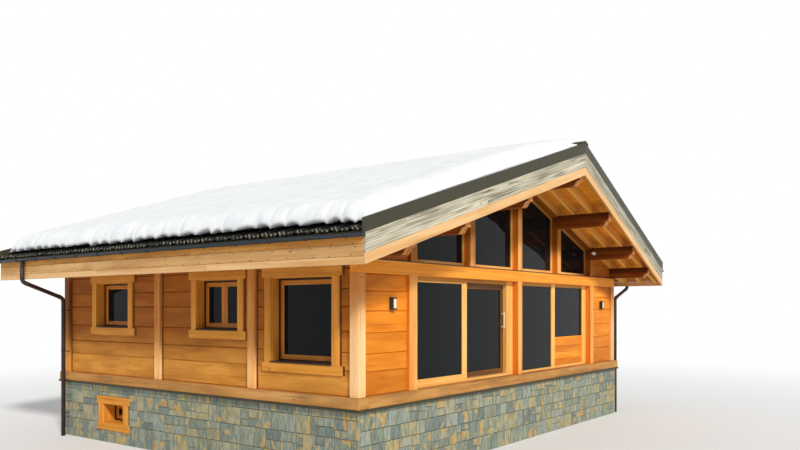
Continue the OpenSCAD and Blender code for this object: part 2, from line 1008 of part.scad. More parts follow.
module verge_boards_lower() {
    color(pale_larch) {
        front_verge_band(board_joint - lower_board_h, board_joint, 0, board_t, half_roof);
        back_verge_band(board_joint - lower_board_h, board_joint, 0, board_t, half_roof);
    }
}

module verge_boards_weathered() {
    color(grey_wood) {
        front_verge_band(board_joint + fit, weathered_top, 0, board_t, half_roof);
        back_verge_band(board_joint + fit, weathered_top, 0, board_t, half_roof);
    }
}

// Dark metal over each verge, standing proud of the tiles
module verge_flashings() {
    color(dark_metal) {
        front_verge_band(weathered_top + fit, flashing_top, 0, board_t, half_roof + tile_out);
        back_verge_band(weathered_top + fit, flashing_top, 0, board_t, half_roof + tile_out);
    }
}

// The eave boards end level with the lower verge boards
eave_foot = plate(half_roof) + board_joint - lower_board_h;

module eave_fascias() {
    color(pale_larch)
        both_sides() {
            block([-half_roof, -half_l - prow_eave + board_t, eave_foot],
                  [-half_roof + board_t, back_y - board_t, plate(half_roof) + tile_a]);
        }
}

gutter_h = 90;
gutter_w = 110;
gutter_t = 5;
// Depth of the gutter's rim under the foot of the tiles
gutter_drop = 30;
gutter_top = plate(half_roof) + tile_a - gutter_drop;

module gutters() {
    color(gutter_metal)
        both_sides()
            difference() {
                block([-half_roof - gutter_w, -half_l - prow_eave, gutter_top - gutter_h],
                      [-half_roof, back_y, gutter_top]);
                block([-half_roof - gutter_w + gutter_t, -half_l - prow_eave + gutter_t,
                       gutter_top - gutter_h + gutter_t],
                      [-half_roof - gutter_t, back_y - gutter_t, gutter_top + 1]);
            }
}

pipe_r = 50;
elbow_r = pipe_r + 8;
pipe_gap = 30;
left_slant = 375;
right_slant = 320;
// The upper bend passes under the eave boards
bend_z = eave_foot - elbow_r;

// A round pipe between two points
module pipe(a, b) {
    v = b - a;
    length = norm(v);
    translate(a)
        rotate([0, acos(v[2] / length), atan2(v[1], v[0])])
            cylinder(h = length, r = pipe_r, $fn = 32);
}

// From the gutter straight down, back to the wall on a slant, then to the ground
module downpipe(y, slant) {
    a = [-half_roof - gutter_w / 2, y, gutter_top - gutter_h];
    b = [a[0], y, bend_z];
    c = [-half_w - sill_out - pipe_gap - pipe_r, y, bend_z - slant];
    d = [c[0], c[1], 0];
    pipe(b, a);
    pipe(b, c);
    pipe(d, c);
    for (p = [b, c])
        translate(p) sphere(r = elbow_r, $fn = 32);
}

module downpipes() {
    color("#3a2a26") {
        downpipe(half_l - post_w - pipe_gap, left_slant);
        mirror([1, 0, 0]) downpipe(-half_l + pipe_gap, right_slant);
    }
}

// A fold over the ridge, solid between a height and its top
module ridge_fold(a, half_width, top, front_in) {
    roof_layer(a, top, half_width, front_in, behind_board);
}

// The metal cap of the ridge stands on the tiles and runs out over the front flashing
cap_half_w = 160;
cap_top = flashing_top + 45;
cap_out = 10;

module ridge_cap() {
    color(dark_metal) {
        ridge_fold(snow_a, cap_half_w, cap_top, behind_board);
        ridge_fold(flashing_top + fit, cap_half_w, cap_top, -cap_out);
    }
}

// Small box lamps on the log faces beside the glazing
lamp_w = 120;
lamp_h = 230;
lamp_t = 90;
lamp_z = 1520;
left_lamp_x = 1000;
right_lamp_x = 900;

module wall_lamp(x) {
    y1 = -half_l + log_setback;
    block([x - lamp_w / 2, y1 - lamp_t, floor_z + lamp_z],
          [x + lamp_w / 2, y1, floor_z + lamp_z + lamp_h]);
}

module wall_lamps() {
    color("#5a5b58") {
        wall_lamp(-half_w + left_lamp_x);
        wall_lamp(half_w - right_lamp_x);
    }
}

// A round spot lamp on the side of the outer right purlin
spot_r = 45;
spot_l = 90;
spot_out = 110;
spot_z = 175;

module spot_lamp() {
    color("#d8d8d4")
        translate([outer_x - post_w / 2 - spot_l, -half_l - spot_out,
                   plate(outer_x) - purlin_h + spot_z])
            rotate([0, 90, 0]) cylinder(h = spot_l, r = spot_r, $fn = 32);
}

basement_floor();
basement_wall_front();
basement_wall_back();
basement_wall_left();
basement_wall_right();
drip_flashing();
sill_beams();
ground_floor();
side_wall_posts();
front_posts();
front_lintel_beam();
back_timber_frame();
left_wall_logs();
right_wall_logs();
front_wall_logs();
back_wall_logs();
left_wall_lining();
right_wall_lining();
front_wall_lining();
back_wall_lining();
window_casings();
window_frames();
window_glass();
window_sills();
door_frame();
door_track();
door_fixed_leaf();
door_sliding_leaf();
door_sliding_glass();
door_handle();
front_glazed_frame();
front_glazed_panel();
front_glass();
upper_window_frames();
upper_window_glass();
gable_headers();
purlins();
rafters();
eave_blocking();
roof_deck();
roof_insulation();
roof_tiles();
roof_snow();
verge_boards_lower();
verge_boards_weathered();
verge_flashings();
eave_fascias();
gutters();
downpipes();
ridge_cap();
wall_lamps();
spot_lamp();
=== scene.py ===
import logging
import math
import random
from dataclasses import dataclass
from enum import Enum
from functools import cached_property
from typing import Dict, Iterable, List, Mapping, Optional, Sequence, Tuple, Union

import bmesh
import bpy
import numpy as np
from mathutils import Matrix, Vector, noise


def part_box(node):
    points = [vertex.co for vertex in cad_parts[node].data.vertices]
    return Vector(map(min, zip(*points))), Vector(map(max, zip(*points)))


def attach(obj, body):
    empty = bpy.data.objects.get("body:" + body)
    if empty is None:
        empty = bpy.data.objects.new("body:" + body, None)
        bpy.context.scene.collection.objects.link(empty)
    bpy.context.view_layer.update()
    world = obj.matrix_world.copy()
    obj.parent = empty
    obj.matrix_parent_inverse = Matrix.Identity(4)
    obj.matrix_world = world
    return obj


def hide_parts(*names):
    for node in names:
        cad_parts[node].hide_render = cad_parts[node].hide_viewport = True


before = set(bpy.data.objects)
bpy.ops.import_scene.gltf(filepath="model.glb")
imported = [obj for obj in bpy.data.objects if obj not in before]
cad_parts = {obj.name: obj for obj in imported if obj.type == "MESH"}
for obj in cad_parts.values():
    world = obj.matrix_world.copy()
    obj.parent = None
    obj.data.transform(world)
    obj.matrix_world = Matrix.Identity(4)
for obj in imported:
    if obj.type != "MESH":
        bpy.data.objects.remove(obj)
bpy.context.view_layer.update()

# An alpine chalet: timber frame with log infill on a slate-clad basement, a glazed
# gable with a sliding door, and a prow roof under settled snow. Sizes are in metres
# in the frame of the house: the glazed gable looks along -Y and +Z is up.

LOG = logging.getLogger("chalet")

Socket = bpy.types.NodeSocket
Inputs = Mapping[Union[str, int], object]
Colour = Union[str, Socket]
Tone = Optional[float]
Flat = Tuple[float, float]
Span = Tuple[float, float]
Field = Tuple[Span, Span]
Outline = List[Flat]
Face = Tuple[int, ...]

MADE: Dict[str, bpy.types.Material] = {}

UP = Vector((0, 0, 1))
ALONG_Y = Vector((0, 1, 0))
ALONG_X = Vector((1, 0, 0))
# Height that the roof loses for each metre away from the ridge, as its shade is drawn
ROOF_FALL = 0.3272


# Finishes


class Grain(Enum):
    """Where a finish reads its pattern: a piece's own grain map, or an axis of the house."""

    PIECE = "piece"
    ALONG_X = "XYZ"
    ALONG_Y = "YXZ"


def linear(colour: str) -> Tuple[float, float, float, float]:
    """Turn an sRGB hex colour into linear light.

    Args:
        colour: A colour such as "#d9913f".

    Returns:
        Red, green, blue and an alpha of 1.
    """
    shares = [int(colour[i:i + 2], 16) / 255.0 for i in (1, 3, 5)]
    light = [s / 12.92 if s <= 0.04045 else ((s + 0.055) / 1.055) ** 2.4 for s in shares]
    return (light[0], light[1], light[2], 1.0)


@dataclass
class Canvas:
    """The nodes of one material, and the places that its pattern is drawn in."""

    tree: bpy.types.NodeTree
    grain: Grain = Grain.PIECE

    def add(
        self, kind: str, inputs: Union[Inputs, Sequence[object]] = (), **settings: object
    ) -> Mapping[Union[str, int], Socket]:
        """Add one shader node with its settings and links.

        Args:
            kind: Blender's name for the node, after "ShaderNode".
            inputs: What feeds its sockets, in order or by name or number: a value, a hex
                colour or an output of another node.
            settings: The node's own settings, and "stops" for a ramp.

        Returns:
            The outputs of the new node.
        """
        node = self.tree.nodes.new("ShaderNode" + kind)
        for name, value in settings.items():
            if name != "stops":
                setattr(node, name, value)
                continue
            elements = node.color_ramp.elements
            while len(elements) < len(value):
                elements.new(1.0)
            for element, (place, colour) in zip(elements, value):
                element.position = place
                element.color = linear(colour)
        for key, value in inputs.items() if isinstance(inputs, dict) else enumerate(inputs):
            if isinstance(value, Socket):
                self.tree.links.new(value, node.inputs[key])
            else:
                plain = linear(value) if isinstance(value, str) else value
                node.inputs[key].default_value = plain
        return node.outputs

    @cached_property
    def house(self) -> Socket:
        """Places in the frame of the house."""
        return self.add("TexCoord")["Object"]

    @cached_property
    def tone(self) -> Optional[Socket]:
        """Tone of each timber or stone from 0 to 1, where a piece holds it."""
        whole = self.grain is not Grain.PIECE
        return None if whole else self.add("Attribute", attribute_name="tone")["Fac"]

    @cached_property
    def spot(self) -> Socket:
        """Place the pattern on the piece.

        Returns:
            Metres along the grain and across it; a third number tells timbers apart.
        """
        if self.tone:
            flat = self.add("SeparateXYZ", (self.add("UVMap", uv_map="grain")["UV"],))
            depth = self.add("Math", (self.tone, 60.0), operation="MULTIPLY")[0]
            return self.add("CombineXYZ", (flat["X"], flat["Y"], depth))[0]
        axes = self.add("SeparateXYZ", (self.house,))
        return self.add("CombineXYZ", tuple(axes[axis] for axis in self.grain.value))[0]

    def spread(self, along: float, across: float) -> Socket:
        """Give the places scaled along the grain and across it."""
        scales = (along, across, 1.0 if self.tone else across)
        return self.add("VectorMath", (self.spot, scales), operation="MULTIPLY")[0]

    def mottle(
        self, along_mm: float, across_mm: float, detail: float = 2.0, bend: float = 0.0
    ) -> Socket:
        """Draw a cloudy pattern that is longer one way than the other.

        Args:
            along_mm: Size of a cloud along the grain.
            across_mm: Size of a cloud across it.
            detail: Octaves of finer cloud.
            bend: How far the clouds are bent out of line.

        Returns:
            The pattern, from 0 to 1.
        """
        spot = self.spread(1000.0 / along_mm, 1000.0 / across_mm)
        return self.add(
            "TexNoise", {"Vector": spot, "Scale": 1.0, "Detail": detail, "Distortion": bend}
        )["Fac"]

    def cover(
        self, under: Colour, over: Colour, pattern: Socket, part: Span,
        shares: Span = (0.0, 1.0), way: str = "MIX",
    ) -> Socket:
        """Lay one colour over another by a part of a pattern.

        Args:
            under: The lower colour, as hex or from a node.
            over: The upper colour, in either form.
            pattern: The pattern.
            part: The two values of the pattern between which the share changes.
            shares: The share of the upper colour at those values.
            way: Blender's name for the blend.

        Returns:
            The colour.
        """
        share = self.add("MapRange", (pattern, *part, *shares))[0]
        return self.add(
            "Mix", {0: share, 6: under, 7: over}, data_type="RGBA", blend_type=way
        )[2]

    def surface(self, inputs: Inputs, relief: Optional[Inputs] = None) -> None:
        """Add the surface shader with its relief, and the output.

        Args:
            inputs: What feeds the shader.
            relief: Height, strength and depth in metres of the relief, if there is one.
        """
        normal = {"Normal": self.add("Bump", relief)[0]} if relief else {}
        shader = self.add("BsdfPrincipled", {**inputs, **normal})["BSDF"]
        self.add("OutputMaterial", {"Surface": shader})


@dataclass(frozen=True)
class Finish:
    """A surface finish, made once as a material and then shared."""

    name: str

    def material(self, grain: Grain = Grain.PIECE) -> bpy.types.Material:
        """Give the finish as a material.

        Args:
            grain: Where the pattern is read from.

        Returns:
            The material, made at the first call.
        """
        key = self.name if grain is Grain.PIECE else f"{self.name}_{grain.name.lower()}"
        if key not in MADE:
            made = bpy.data.materials.new(key)
            made.use_nodes = True
            made.node_tree.nodes.clear()
            self.paint(Canvas(made.node_tree, grain))
            MADE[key] = made
        return MADE[key]

    def paint(self, draw: Canvas) -> None:
        """Fill the material's canvas; each kind of finish has its own way."""
        raise NotImplementedError


@dataclass(frozen=True)
class Timber(Finish):
    """Softwood: growth bands, fibre, knots, drying checks and weathering."""

    pale: str
    mid: str
    dark: str
    knot: str = "#5b3216"
    weather: str = "#6f5233"
    weathering: float = 0.0
    spread: float = 0.09
    knots: float = 0.6
    checks: float = 0.5
    roughness: float = 0.6
    band_mm: float = 130.0
    length_mm: float = 2200.0
    # Half of the range of growth bands over which the colour goes from dark to pale
    reach: float = 0.28
    # How much the dark fibres show; the real ones are under 1 mm, drawn 8 mm wide
    fibre: float = 0.14
    gloss: float = 0.22
    # Painted shade of the roof: what the wood is multiplied by where the roof's shadow falls,
    # the heights in metres over which that comes in, and how fast those fall away from the ridge
    painted_roof_shade: Optional[str] = None
    painted_shade_heights: Span = (1.75, 2.95)
    fall: float = 0.0
    # Painted shade: what it is darkened by on cheeks that look sideways
    cheek: Optional[str] = None

    def paint(self, draw: Canvas) -> None:
        """Draw sawn and oiled softwood along the grain.

        Args:
            draw: The material's canvas.
        """
        bands = draw.mottle(self.length_mm, self.band_mm, 3.0, 0.5)
        fibre = draw.mottle(420.0, 8.0)
        cracks = draw.mottle(1500.0, 32.0, 1.0)
        stops = ((0.5 - self.reach, self.dark), (0.5, self.mid), (0.5 + self.reach, self.pale))
        wood = draw.add("ValToRGB", (bands,), stops=stops)["Color"]
        wood = draw.cover(wood, self.dark, fibre, (0.35, 0.62), (self.fibre, 0.0))
        if draw.tone:
            low, high = 1.0 - self.spread, 1.0 + self.spread
            value = draw.add("MapRange", (draw.tone, 0.0, 1.0, low, high))[0]
            wood = draw.add("HueSaturation", {"Value": value, "Color": wood})["Color"]
        if self.weathering > 0.0:
            clouds = draw.mottle(1100.0, 380.0)
            wood = draw.cover(wood, self.weather, clouds, (0.42, 0.66), (0.0, self.weathering))
        wood = self.knotted(draw, self.shaded(draw, wood))
        wood = draw.cover(wood, self.knot, cracks, (0.665, 0.70), (0.0, self.checks))
        crack = draw.add("MapRange", (cracks, 0.665, 0.70, 0.0, self.checks))[0]
        low, high = self.roughness - 0.08, self.roughness + 0.1
        draw.surface(
            {"IOR": 1.5, "Specular IOR Level": self.gloss, "Base Color": wood,
             "Roughness": draw.add("MapRange", (fibre, 0.3, 0.7, low, high))[0]},
            {"Strength": 0.35, "Distance": 0.002,
             "Height": draw.add("Math", (crack, -2.5, fibre), operation="MULTIPLY_ADD")[0]},
        )

    def shaded(self, draw: Canvas, wood: Socket) -> Socket:
        """Darken the wood with painted shade: under the roof, and on cheeks that look sideways.

        Args:
            draw: The material's canvas.
            wood: The colour so far.

        Returns:
            The darkened colour.
        """
        # Painted shade of the roof, over a band of height that falls away from the ridge
        if self.painted_roof_shade:
            here = draw.add("SeparateXYZ", (draw.house,))
            aside = draw.add("Math", (here["X"],), operation="ABSOLUTE")[0]
            lift = draw.add("Math", (aside, self.fall, here["Z"]), operation="MULTIPLY_ADD")[0]
            wood = draw.cover(wood, self.painted_roof_shade, lift, self.painted_shade_heights, way="MULTIPLY")
        # Painted shade on cheeks that look sideways
        if self.cheek:
            face = draw.add("SeparateXYZ", (draw.add("NewGeometry")["True Normal"],))
            sideways = draw.add("Math", (face["X"],), operation="ABSOLUTE")[0]
            wood = draw.cover(wood, self.cheek, sideways, (0.75, 0.95), way="MULTIPLY")
        return wood

    def knotted(self, draw: Canvas, wood: Socket) -> Socket:
        """Set knots into the wood, in about a quarter of the cells of a pattern.

        Args:
            draw: The material's canvas.
            wood: The colour so far.

        Returns:
            The colour with knots.
        """
        cells = draw.add(
            "TexVoronoi", {"Vector": draw.spread(3.2, 4.0), "Scale": 1.0, "Randomness": 0.9}
        )
        chance = draw.add("SeparateColor", (cells["Color"],))["Red"]
        here = draw.add("Math", (chance, 0.72), operation="GREATER_THAN")[0]
        share = draw.add("Math", (here, self.knots), operation="MULTIPLY")[0]
        return draw.cover(wood, self.knot, cells["Distance"], (0.05, 0.12), (share, 0.0))


@dataclass(frozen=True)
class Boarding(Finish):
    """Planed boards laid side by side on an inner face, with shadow gaps."""

    pale: str
    dark: str
    board_mm: float = 120.0

    def paint(self, draw: Canvas) -> None:
        """Draw boards of one width with end joints, in the plane that the grain names.

        Args:
            draw: The material's canvas.
        """
        boards = draw.add(
            "TexBrick",
            {"Vector": draw.spot, "Color1": self.pale, "Color2": self.dark, "Scale": 1.0,
             "Mortar": "#3a2a1a", "Mortar Size": 0.003, "Brick Width": 2.4,
             "Row Height": self.board_mm / 1000.0},
        )["Color"]
        fibre = draw.mottle(500.0, 12.0)
        wood = draw.cover(boards, self.dark, fibre, (0.35, 0.65), (0.22, 0.0))
        draw.surface(
            {"Roughness": 0.5, "IOR": 1.5, "Base Color": wood},
            {"Height": fibre, "Strength": 0.3, "Distance": 0.002},
        )


@dataclass(frozen=True)
class Slate(Finish):
    """Split slate: cleft faces in blue-grey and green-grey with rust bloom."""

    stones: Tuple[str, str, str, str]
    rust: str
    ochre: str

    def paint(self, draw: Canvas) -> None:
        """Draw a cleft face; the tone of each slab picks its colour.

        Args:
            draw: The material's canvas.
        """
        stops = tuple(zip((0.0, 0.38, 0.66, 0.93), self.stones))
        slab = draw.add("ValToRGB", (draw.tone,), stops=stops)["Color"]
        # Cleft layers step by 2 to 5 mm over a hand's breadth
        cleft = draw.mottle(70.0, 260.0, 5.0, 0.8)
        grit = draw.mottle(22.0, 40.0, 3.0)
        bloom = draw.mottle(170.0, 330.0, 2.0, 0.6)
        for colour, pattern, part, shares in (
            ("#47514e", cleft, (0.38, 0.58), (0.55, 0.0)),
            ("#b4b8a4", grit, (0.5, 0.7), (0.0, 0.3)),
            (self.ochre, bloom, (0.57, 0.64), (0.0, 0.85)),
            (self.rust, bloom, (0.65, 0.71), (0.0, 0.75)),
        ):
            slab = draw.cover(slab, colour, pattern, part, shares)
        draw.surface(
            {"IOR": 1.5, "Base Color": slab,
             "Roughness": draw.add("MapRange", (grit, 0.3, 0.7, 0.55, 0.85))[0]},
            {"Height": cleft, "Strength": 0.8, "Distance": 0.008},
        )


@dataclass(frozen=True)
class Mineral(Finish):
    """Mortar, cast concrete or board insulation: a matt, finely uneven mass."""

    base: str
    shade: str
    patch_mm: float = 300.0

    def paint(self, draw: Canvas) -> None:
        """Draw slow patches and fine grit.

        Args:
            draw: The material's canvas.
        """
        patch = draw.mottle(self.patch_mm, self.patch_mm, 4.0)
        grit = draw.mottle(8.0, 8.0, 3.0)
        mass = draw.cover(self.base, self.shade, patch, (0.35, 0.65))
        mass = draw.cover(mass, self.shade, grit, (0.5, 0.75), (0.0, 0.35))
        draw.surface(
            {"Roughness": 0.9, "IOR": 1.5, "Base Color": mass},
            {"Height": grit, "Strength": 0.6, "Distance": 0.0015},
        )


@dataclass(frozen=True)
class CoatedSheet(Finish):
    """Folded or drawn metal under a paint coat, dusty and a little uneven."""

    coat: str
    dust: str
    metallic: float = 0.0
    roughness: float = 0.42

    def paint(self, draw: Canvas) -> None:
        """Draw the coat, with dust in slow streaks and slight oil-canning.

        Args:
            draw: The material's canvas.
        """
        streak = draw.mottle(700.0, 120.0, 4.0)
        coat = draw.cover(self.coat, self.dust, streak, (0.42, 0.75), (0.0, 0.55))
        rough = draw.add("MapRange", (streak, 0.35, 0.7, self.roughness, self.roughness + 0.2))
        draw.surface(
            {"Metallic": self.metallic, "Specular IOR Level": 0.25, "Base Color": coat,
             "Roughness": rough[0]},
            {"Height": draw.mottle(400.0, 250.0, 1.0), "Strength": 0.15, "Distance": 0.003},
        )


@dataclass(frozen=True)
class RoofTile(Finish):
    """Fired clay tiles with a dark engobe, with painted highlights in runs near the eave."""

    body: str
    painted_highlight: str

    def paint(self, draw: Canvas) -> None:
        """Draw a dark satin tile, with slanted runs of painted highlight close to the eave.

        Args:
            draw: The material's canvas.
        """
        house = draw.add("SeparateXYZ", (draw.house,))
        aside = draw.add("Math", (house["X"],), operation="ABSOLUTE")[0]
        # Painted highlights in runs 25 mm wide, one every 105 mm
        slant = draw.add("Math", (aside, 1.3, house["Y"]), operation="MULTIPLY_ADD")[0]
        turns = draw.add("Math", (slant, 9.5), operation="MULTIPLY")[0]
        part = draw.add("Math", (turns,), operation="FRACT")[0]
        run = draw.add("MapRange", (part, 0.26, 0.20, 0.0, 1.0))[0]
        patch = draw.add("MapRange", (draw.mottle(500.0, 700.0), 0.42, 0.50, 0.0, 0.9))[0]
        painted_highlight = draw.add("Math", (run, patch), operation="MULTIPLY")[0]
        draw.surface(
            {"Roughness": 0.55, "IOR": 1.5, "Specular IOR Level": 0.15,
             "Base Color": draw.cover(
                 self.body, self.painted_highlight, aside, (6.84, 6.90), (0.0, painted_highlight))},
            {"Height": draw.mottle(10.0, 10.0), "Strength": 0.4, "Distance": 0.001},
        )


@dataclass(frozen=True)
class SettledSnow(Finish):
    """Snow some days old: soft and nearly white, with a little blue painted shade in its hollows.
    """

    lit: str
    hollow_shade: str

    def paint(self, draw: Canvas) -> None:
        """Draw wind ripples and a fine sintered grain.

        Args:
            draw: The material's canvas.
        """
        ripple, crust = (
            draw.add("TexNoise", {"Vector": draw.house, "Scale": scale, "Detail": detail})["Fac"]
            for scale, detail in ((2.2, 4.0), (26.0, 3.0))
        )
        shade = draw.cover(self.lit, self.hollow_shade, ripple, (0.38, 0.62), (1.0, 0.0))
        soft = draw.add("Bump", {"Height": ripple, "Strength": 0.22, "Distance": 0.04})[0]
        draw.surface(
            {"Roughness": 0.7, "IOR": 1.31, "Specular IOR Level": 0.35, "Base Color": shade},
            {"Height": crust, "Strength": 0.35, "Distance": 0.006, "Normal": soft},
        )


@dataclass(frozen=True)
class Glazing(Finish):
    """Float glass in sealed units with a slight wave; painted shade makes it dark."""

    tint: str
    clear: float

    def paint(self, draw: Canvas) -> None:
        """Draw smooth glass whose panes are not quite flat.

        Args:
            draw: The material's canvas.
        """
        wave = draw.add("TexNoise", {"Vector": draw.house, "Scale": 0.9, "Detail": 1.0})["Fac"]
        draw.surface(
            {"Base Color": self.tint, "Roughness": 0.02, "IOR": 1.2,
             "Specular IOR Level": 0.3, "Transmission Weight": self.clear},
            {"Height": wave, "Strength": 0.05, "Distance": 0.01},
        )


@dataclass(frozen=True)
class LampGlass(Finish):
    """Opal glass of a wall lamp, unlit: milky and smooth."""

    opal: str

    def paint(self, draw: Canvas) -> None:
        """Draw opal glass with a faint cloudiness.

        Args:
            draw: The material's canvas.
        """
        milk = draw.cover(self.opal, "#c9c4b4", draw.mottle(40.0, 40.0), (0.3, 0.7), (0.0, 0.2))
        draw.surface({"Roughness": 0.18, "Coat Weight": 0.4, "Base Color": milk})


# The three colours of a timber are those of its pale, middle and dark growth bands
# Squared larch logs, oiled, in full sun on the gable: honey orange, satin; high up they
# are darkened with painted shade of the roof
GABLE_LARCH = Timber(
    "oiled_larch_gable_logs", "#fca43a", "#ee8e20", "#d0700a",
    weather="#ce7012", weathering=0.4, spread=0.26, knots=0.4, checks=0.22, band_mm=200.0,
    length_mm=1300.0, painted_roof_shade="#c0b498", painted_shade_heights=(5.05, 5.3), fall=ROOF_FALL,
)
# The lintel beam, paler than the logs: painted light that stands in for sun on it under the roof
LINTEL_LARCH = Timber(
    "oiled_larch_lintel_beam_painted_light", "#ffb648", "#fca032", "#e88a20",
    weather="#e48a20", weathering=0.3, spread=0.04, knots=0.4, checks=0.3,
)
# The same logs on the eave walls, browner from weather, with dark drying checks; painted
# shade of the eaves darkens their upper courses
WALL_LARCH = Timber(
    "oiled_larch_wall_logs", "#f0b056", "#de983c", "#b27420",
    weather="#aa6c26", weathering=0.45, spread=0.12, knots=0.5, checks=0.25, band_mm=200.0,
    length_mm=1300.0, painted_roof_shade="#c8a63e", painted_shade_heights=(1.75, 2.65),
)
# Corner posts, planed: pale yellow larch, little weathered; painted shade darkens their
# upper part
CORNER_LARCH = Timber(
    "planed_larch_corner_posts", "#ffdca8", "#fbcc92", "#eab070",
    weather="#ecb478", weathering=0.25, spread=0.15, knots=0.4, checks=0.3,
    painted_roof_shade="#dcb684", painted_shade_heights=(2.6, 3.4),
)
# Posts of the gables, honey yellow, with painted shade on their sideways cheeks and on
# their upper part under the roof
POST_LARCH = Timber(
    "planed_larch_gable_posts", "#f8bc72", "#eda656", "#d4883a",
    weather="#d88e42", weathering=0.25, spread=0.05, knots=0.5, checks=0.35, cheek="#f0c878",
    painted_roof_shade="#b6a468", painted_shade_heights=(5.15, 5.4), fall=ROOF_FALL,
)
# Posts of the eave walls, oiled browner than those at the corners; painted shade of the
# eaves darkens their upper part
SIDE_LARCH = Timber(
    "oiled_larch_side_posts", "#ffd492", "#fac07a", "#e2a05a",
    weather="#dc9858", weathering=0.35, spread=0.06, knots=0.5, checks=0.4,
    painted_roof_shade="#dabc90", painted_shade_heights=(1.8, 2.7),
)
# Corner posts at the back, oiled as the side posts are, in a darker copy of their finish as
# painted shade, and darker still in their upper part with painted shade of the eaves
BACK_LARCH = Timber(
    "oiled_larch_back_posts_painted_shade", "#eeae60", "#de9848", "#be7830",
    weather="#b67030", weathering=0.35, spread=0.06, knots=0.5, checks=0.4,
    painted_roof_shade="#a89070", painted_shade_heights=(1.9, 2.9),
)
# Boards over the doors, a darker copy of the door frames' larch: painted shade of the
# lintel beam above them
HEAD_LARCH = Timber(
    "oiled_larch_door_heads_painted_shade", "#cc9648", "#be8438", "#9c6626",
    spread=0.05, knots=0.3, checks=0.3,
)
# Boards between the upper windows and the soffit, darkened with painted shade of the roof
HEADER_LARCH = Timber(
    "larch_gable_headers_painted_shade", "#b06a1a", "#924f0c", "#643406",
    spread=0.06, knots=0.5, checks=0.4, gloss=0.15,
)
# The sliding leaf, darkened with painted shade of the frame that it runs behind
LEAF_LARCH = Timber(
    "larch_sliding_leaf_painted_shade", "#84561e", "#6c4414", "#4c2e0c",
    spread=0.05, knots=0.3, checks=0.2, roughness=0.5,
)
# Window casings, oiled
CASING_LARCH = Timber(
    "oiled_larch_casings", "#f4ae50", "#e69a38", "#c07a1c",
    weather="#bc721a", weathering=0.4, spread=0.06, knots=0.45, checks=0.25,
)
# Varnished window frames, golden and smooth
FRAME_PINE = Timber(
    "varnished_pine_window_frames", "#dc9a44", "#c87e2a", "#9e5a14",
    spread=0.05, knots=0.2, checks=0.1, roughness=0.42,
)
# Planed door and gable frames, pale in the sun; painted shade of the roof darkens their
# upper part
DOOR_LARCH = Timber(
    "planed_larch_door_frames", "#ffd084", "#f8be66", "#e2a04a",
    weather="#dc9a46", weathering=0.25, spread=0.05, knots=0.3, checks=0.12, roughness=0.5,
    painted_roof_shade="#a89a78", painted_shade_heights=(5.15, 5.4), fall=ROOF_FALL,
)
# The sill ring, sawn and rained on
SILL_LARCH = Timber(
    "sawn_larch_sill_beams", "#dcab6b", "#c68e4c", "#9c6832",
    weather="#8a6034", weathering=0.55, spread=0.08, knots=0.7, checks=0.7, roughness=0.72,
)
# Structural purlins, stained red-brown; darkened further with painted shade of the roof,
# and their upper part more with painted shade under the deck
PURLIN_SPRUCE = Timber(
    "stained_spruce_purlins_painted_shade", "#a05c1c", "#84430f", "#5a2806",
    spread=0.08, knots=0.5, checks=0.5, roughness=0.58, gloss=0.15,
    painted_roof_shade="#a8a29c", painted_shade_heights=(5.92, 6.04), fall=ROOF_FALL,
)
# Their carved ends, a paler copy of the purlins' finish: painted light
NOSE_SPRUCE = Timber(
    "spruce_purlin_ends_painted_light", "#e8aa68", "#cc8644", "#9a5a26",
    spread=0.06, knots=0.3, checks=0.4, roughness=0.62,
)
# The dark outer ring of the window frames
RING_PINE = Timber(
    "stained_pine_window_rings", "#4a3018", "#33200f", "#1f130a",
    spread=0.05, knots=0.1, checks=0.1, roughness=0.45,
)
# Rafters, planed spruce with a light stain, made brighter with painted light that stands
# in for the light thrown up from below
RAFTER_SPRUCE = Timber(
    "stained_spruce_rafters_painted_light", "#f2bc66", "#e6a64a", "#c88636",
    spread=0.09, knots=0.5, checks=0.3, gloss=0.15,
)
# Boards of the soffit, planed spruce with a light stain, made brighter with painted light
# that stands in for the light thrown up from below
SOFFIT_SPRUCE = Timber(
    "stained_spruce_soffit_boards", "#f6b044", "#ec9c2c", "#ce7c1a",
    spread=0.13, knots=0.6, checks=0.15, band_mm=35.0, gloss=0.15,
)
# Newer verge and eave boards, cream-orange in the sun
VERGE_LARCH = Timber(
    "planed_larch_verge_boards", "#f0ca98", "#e2b47c", "#c89254",
    weather="#d8a86c", weathering=0.3, spread=0.05, knots=0.4, checks=0.2,
)
# Old verge boards, bleached by the sun and stained where water ran
GREY_LARCH = Timber(
    "bleached_larch_verge_boards", "#dcd6c4", "#c2b9a0", "#6e6a5a",
    knot="#4c4436", weather="#8a8878", weathering=0.45, spread=0.30, knots=0.6, checks=0.7,
    roughness=0.82, band_mm=34.0, length_mm=900.0, reach=0.17, fibre=0.25,
)
# Eave boards above the pale one, warm honey
EAVE_LARCH = Timber(
    "oiled_larch_eave_boards", "#dfb67c", "#cfa066", "#a87840",
    weather="#a87848", weathering=0.4, spread=0.06, knots=0.7, checks=0.3,
)
# The boards behind the gutter, more orange than the row above, and made brighter with
# painted light against the shade of the gutter
LIT_GUTTER_LARCH = Timber(
    "larch_gutter_boards_painted_light", "#eeac58", "#dc9846", "#b07028",
    weather="#ac6c2c", weathering=0.45, spread=0.07, knots=0.7, checks=0.4,
)
LINING_SPRUCE = Boarding("planed_spruce_lining", "#d8c39a", "#b99a68")
FLOOR_OAK = Boarding("oiled_oak_floor", "#b98a55", "#94683a", board_mm=160.0)
# Green-grey and blue-grey slate, split by hand, with iron bloom
CLADDING_SLATE = Slate(
    "split_slate_cladding", stones=("#6c7a78", "#8a927c", "#97a094", "#a8a078"),
    rust="#b87436", ochre="#c2a45e",
)
BED_MORTAR = Mineral("lime_mortar", "#6c7266", "#585d54")
CAST_CONCRETE = Mineral("cast_concrete", "#9a9d9a", "#7f8280", patch_mm=700.0)
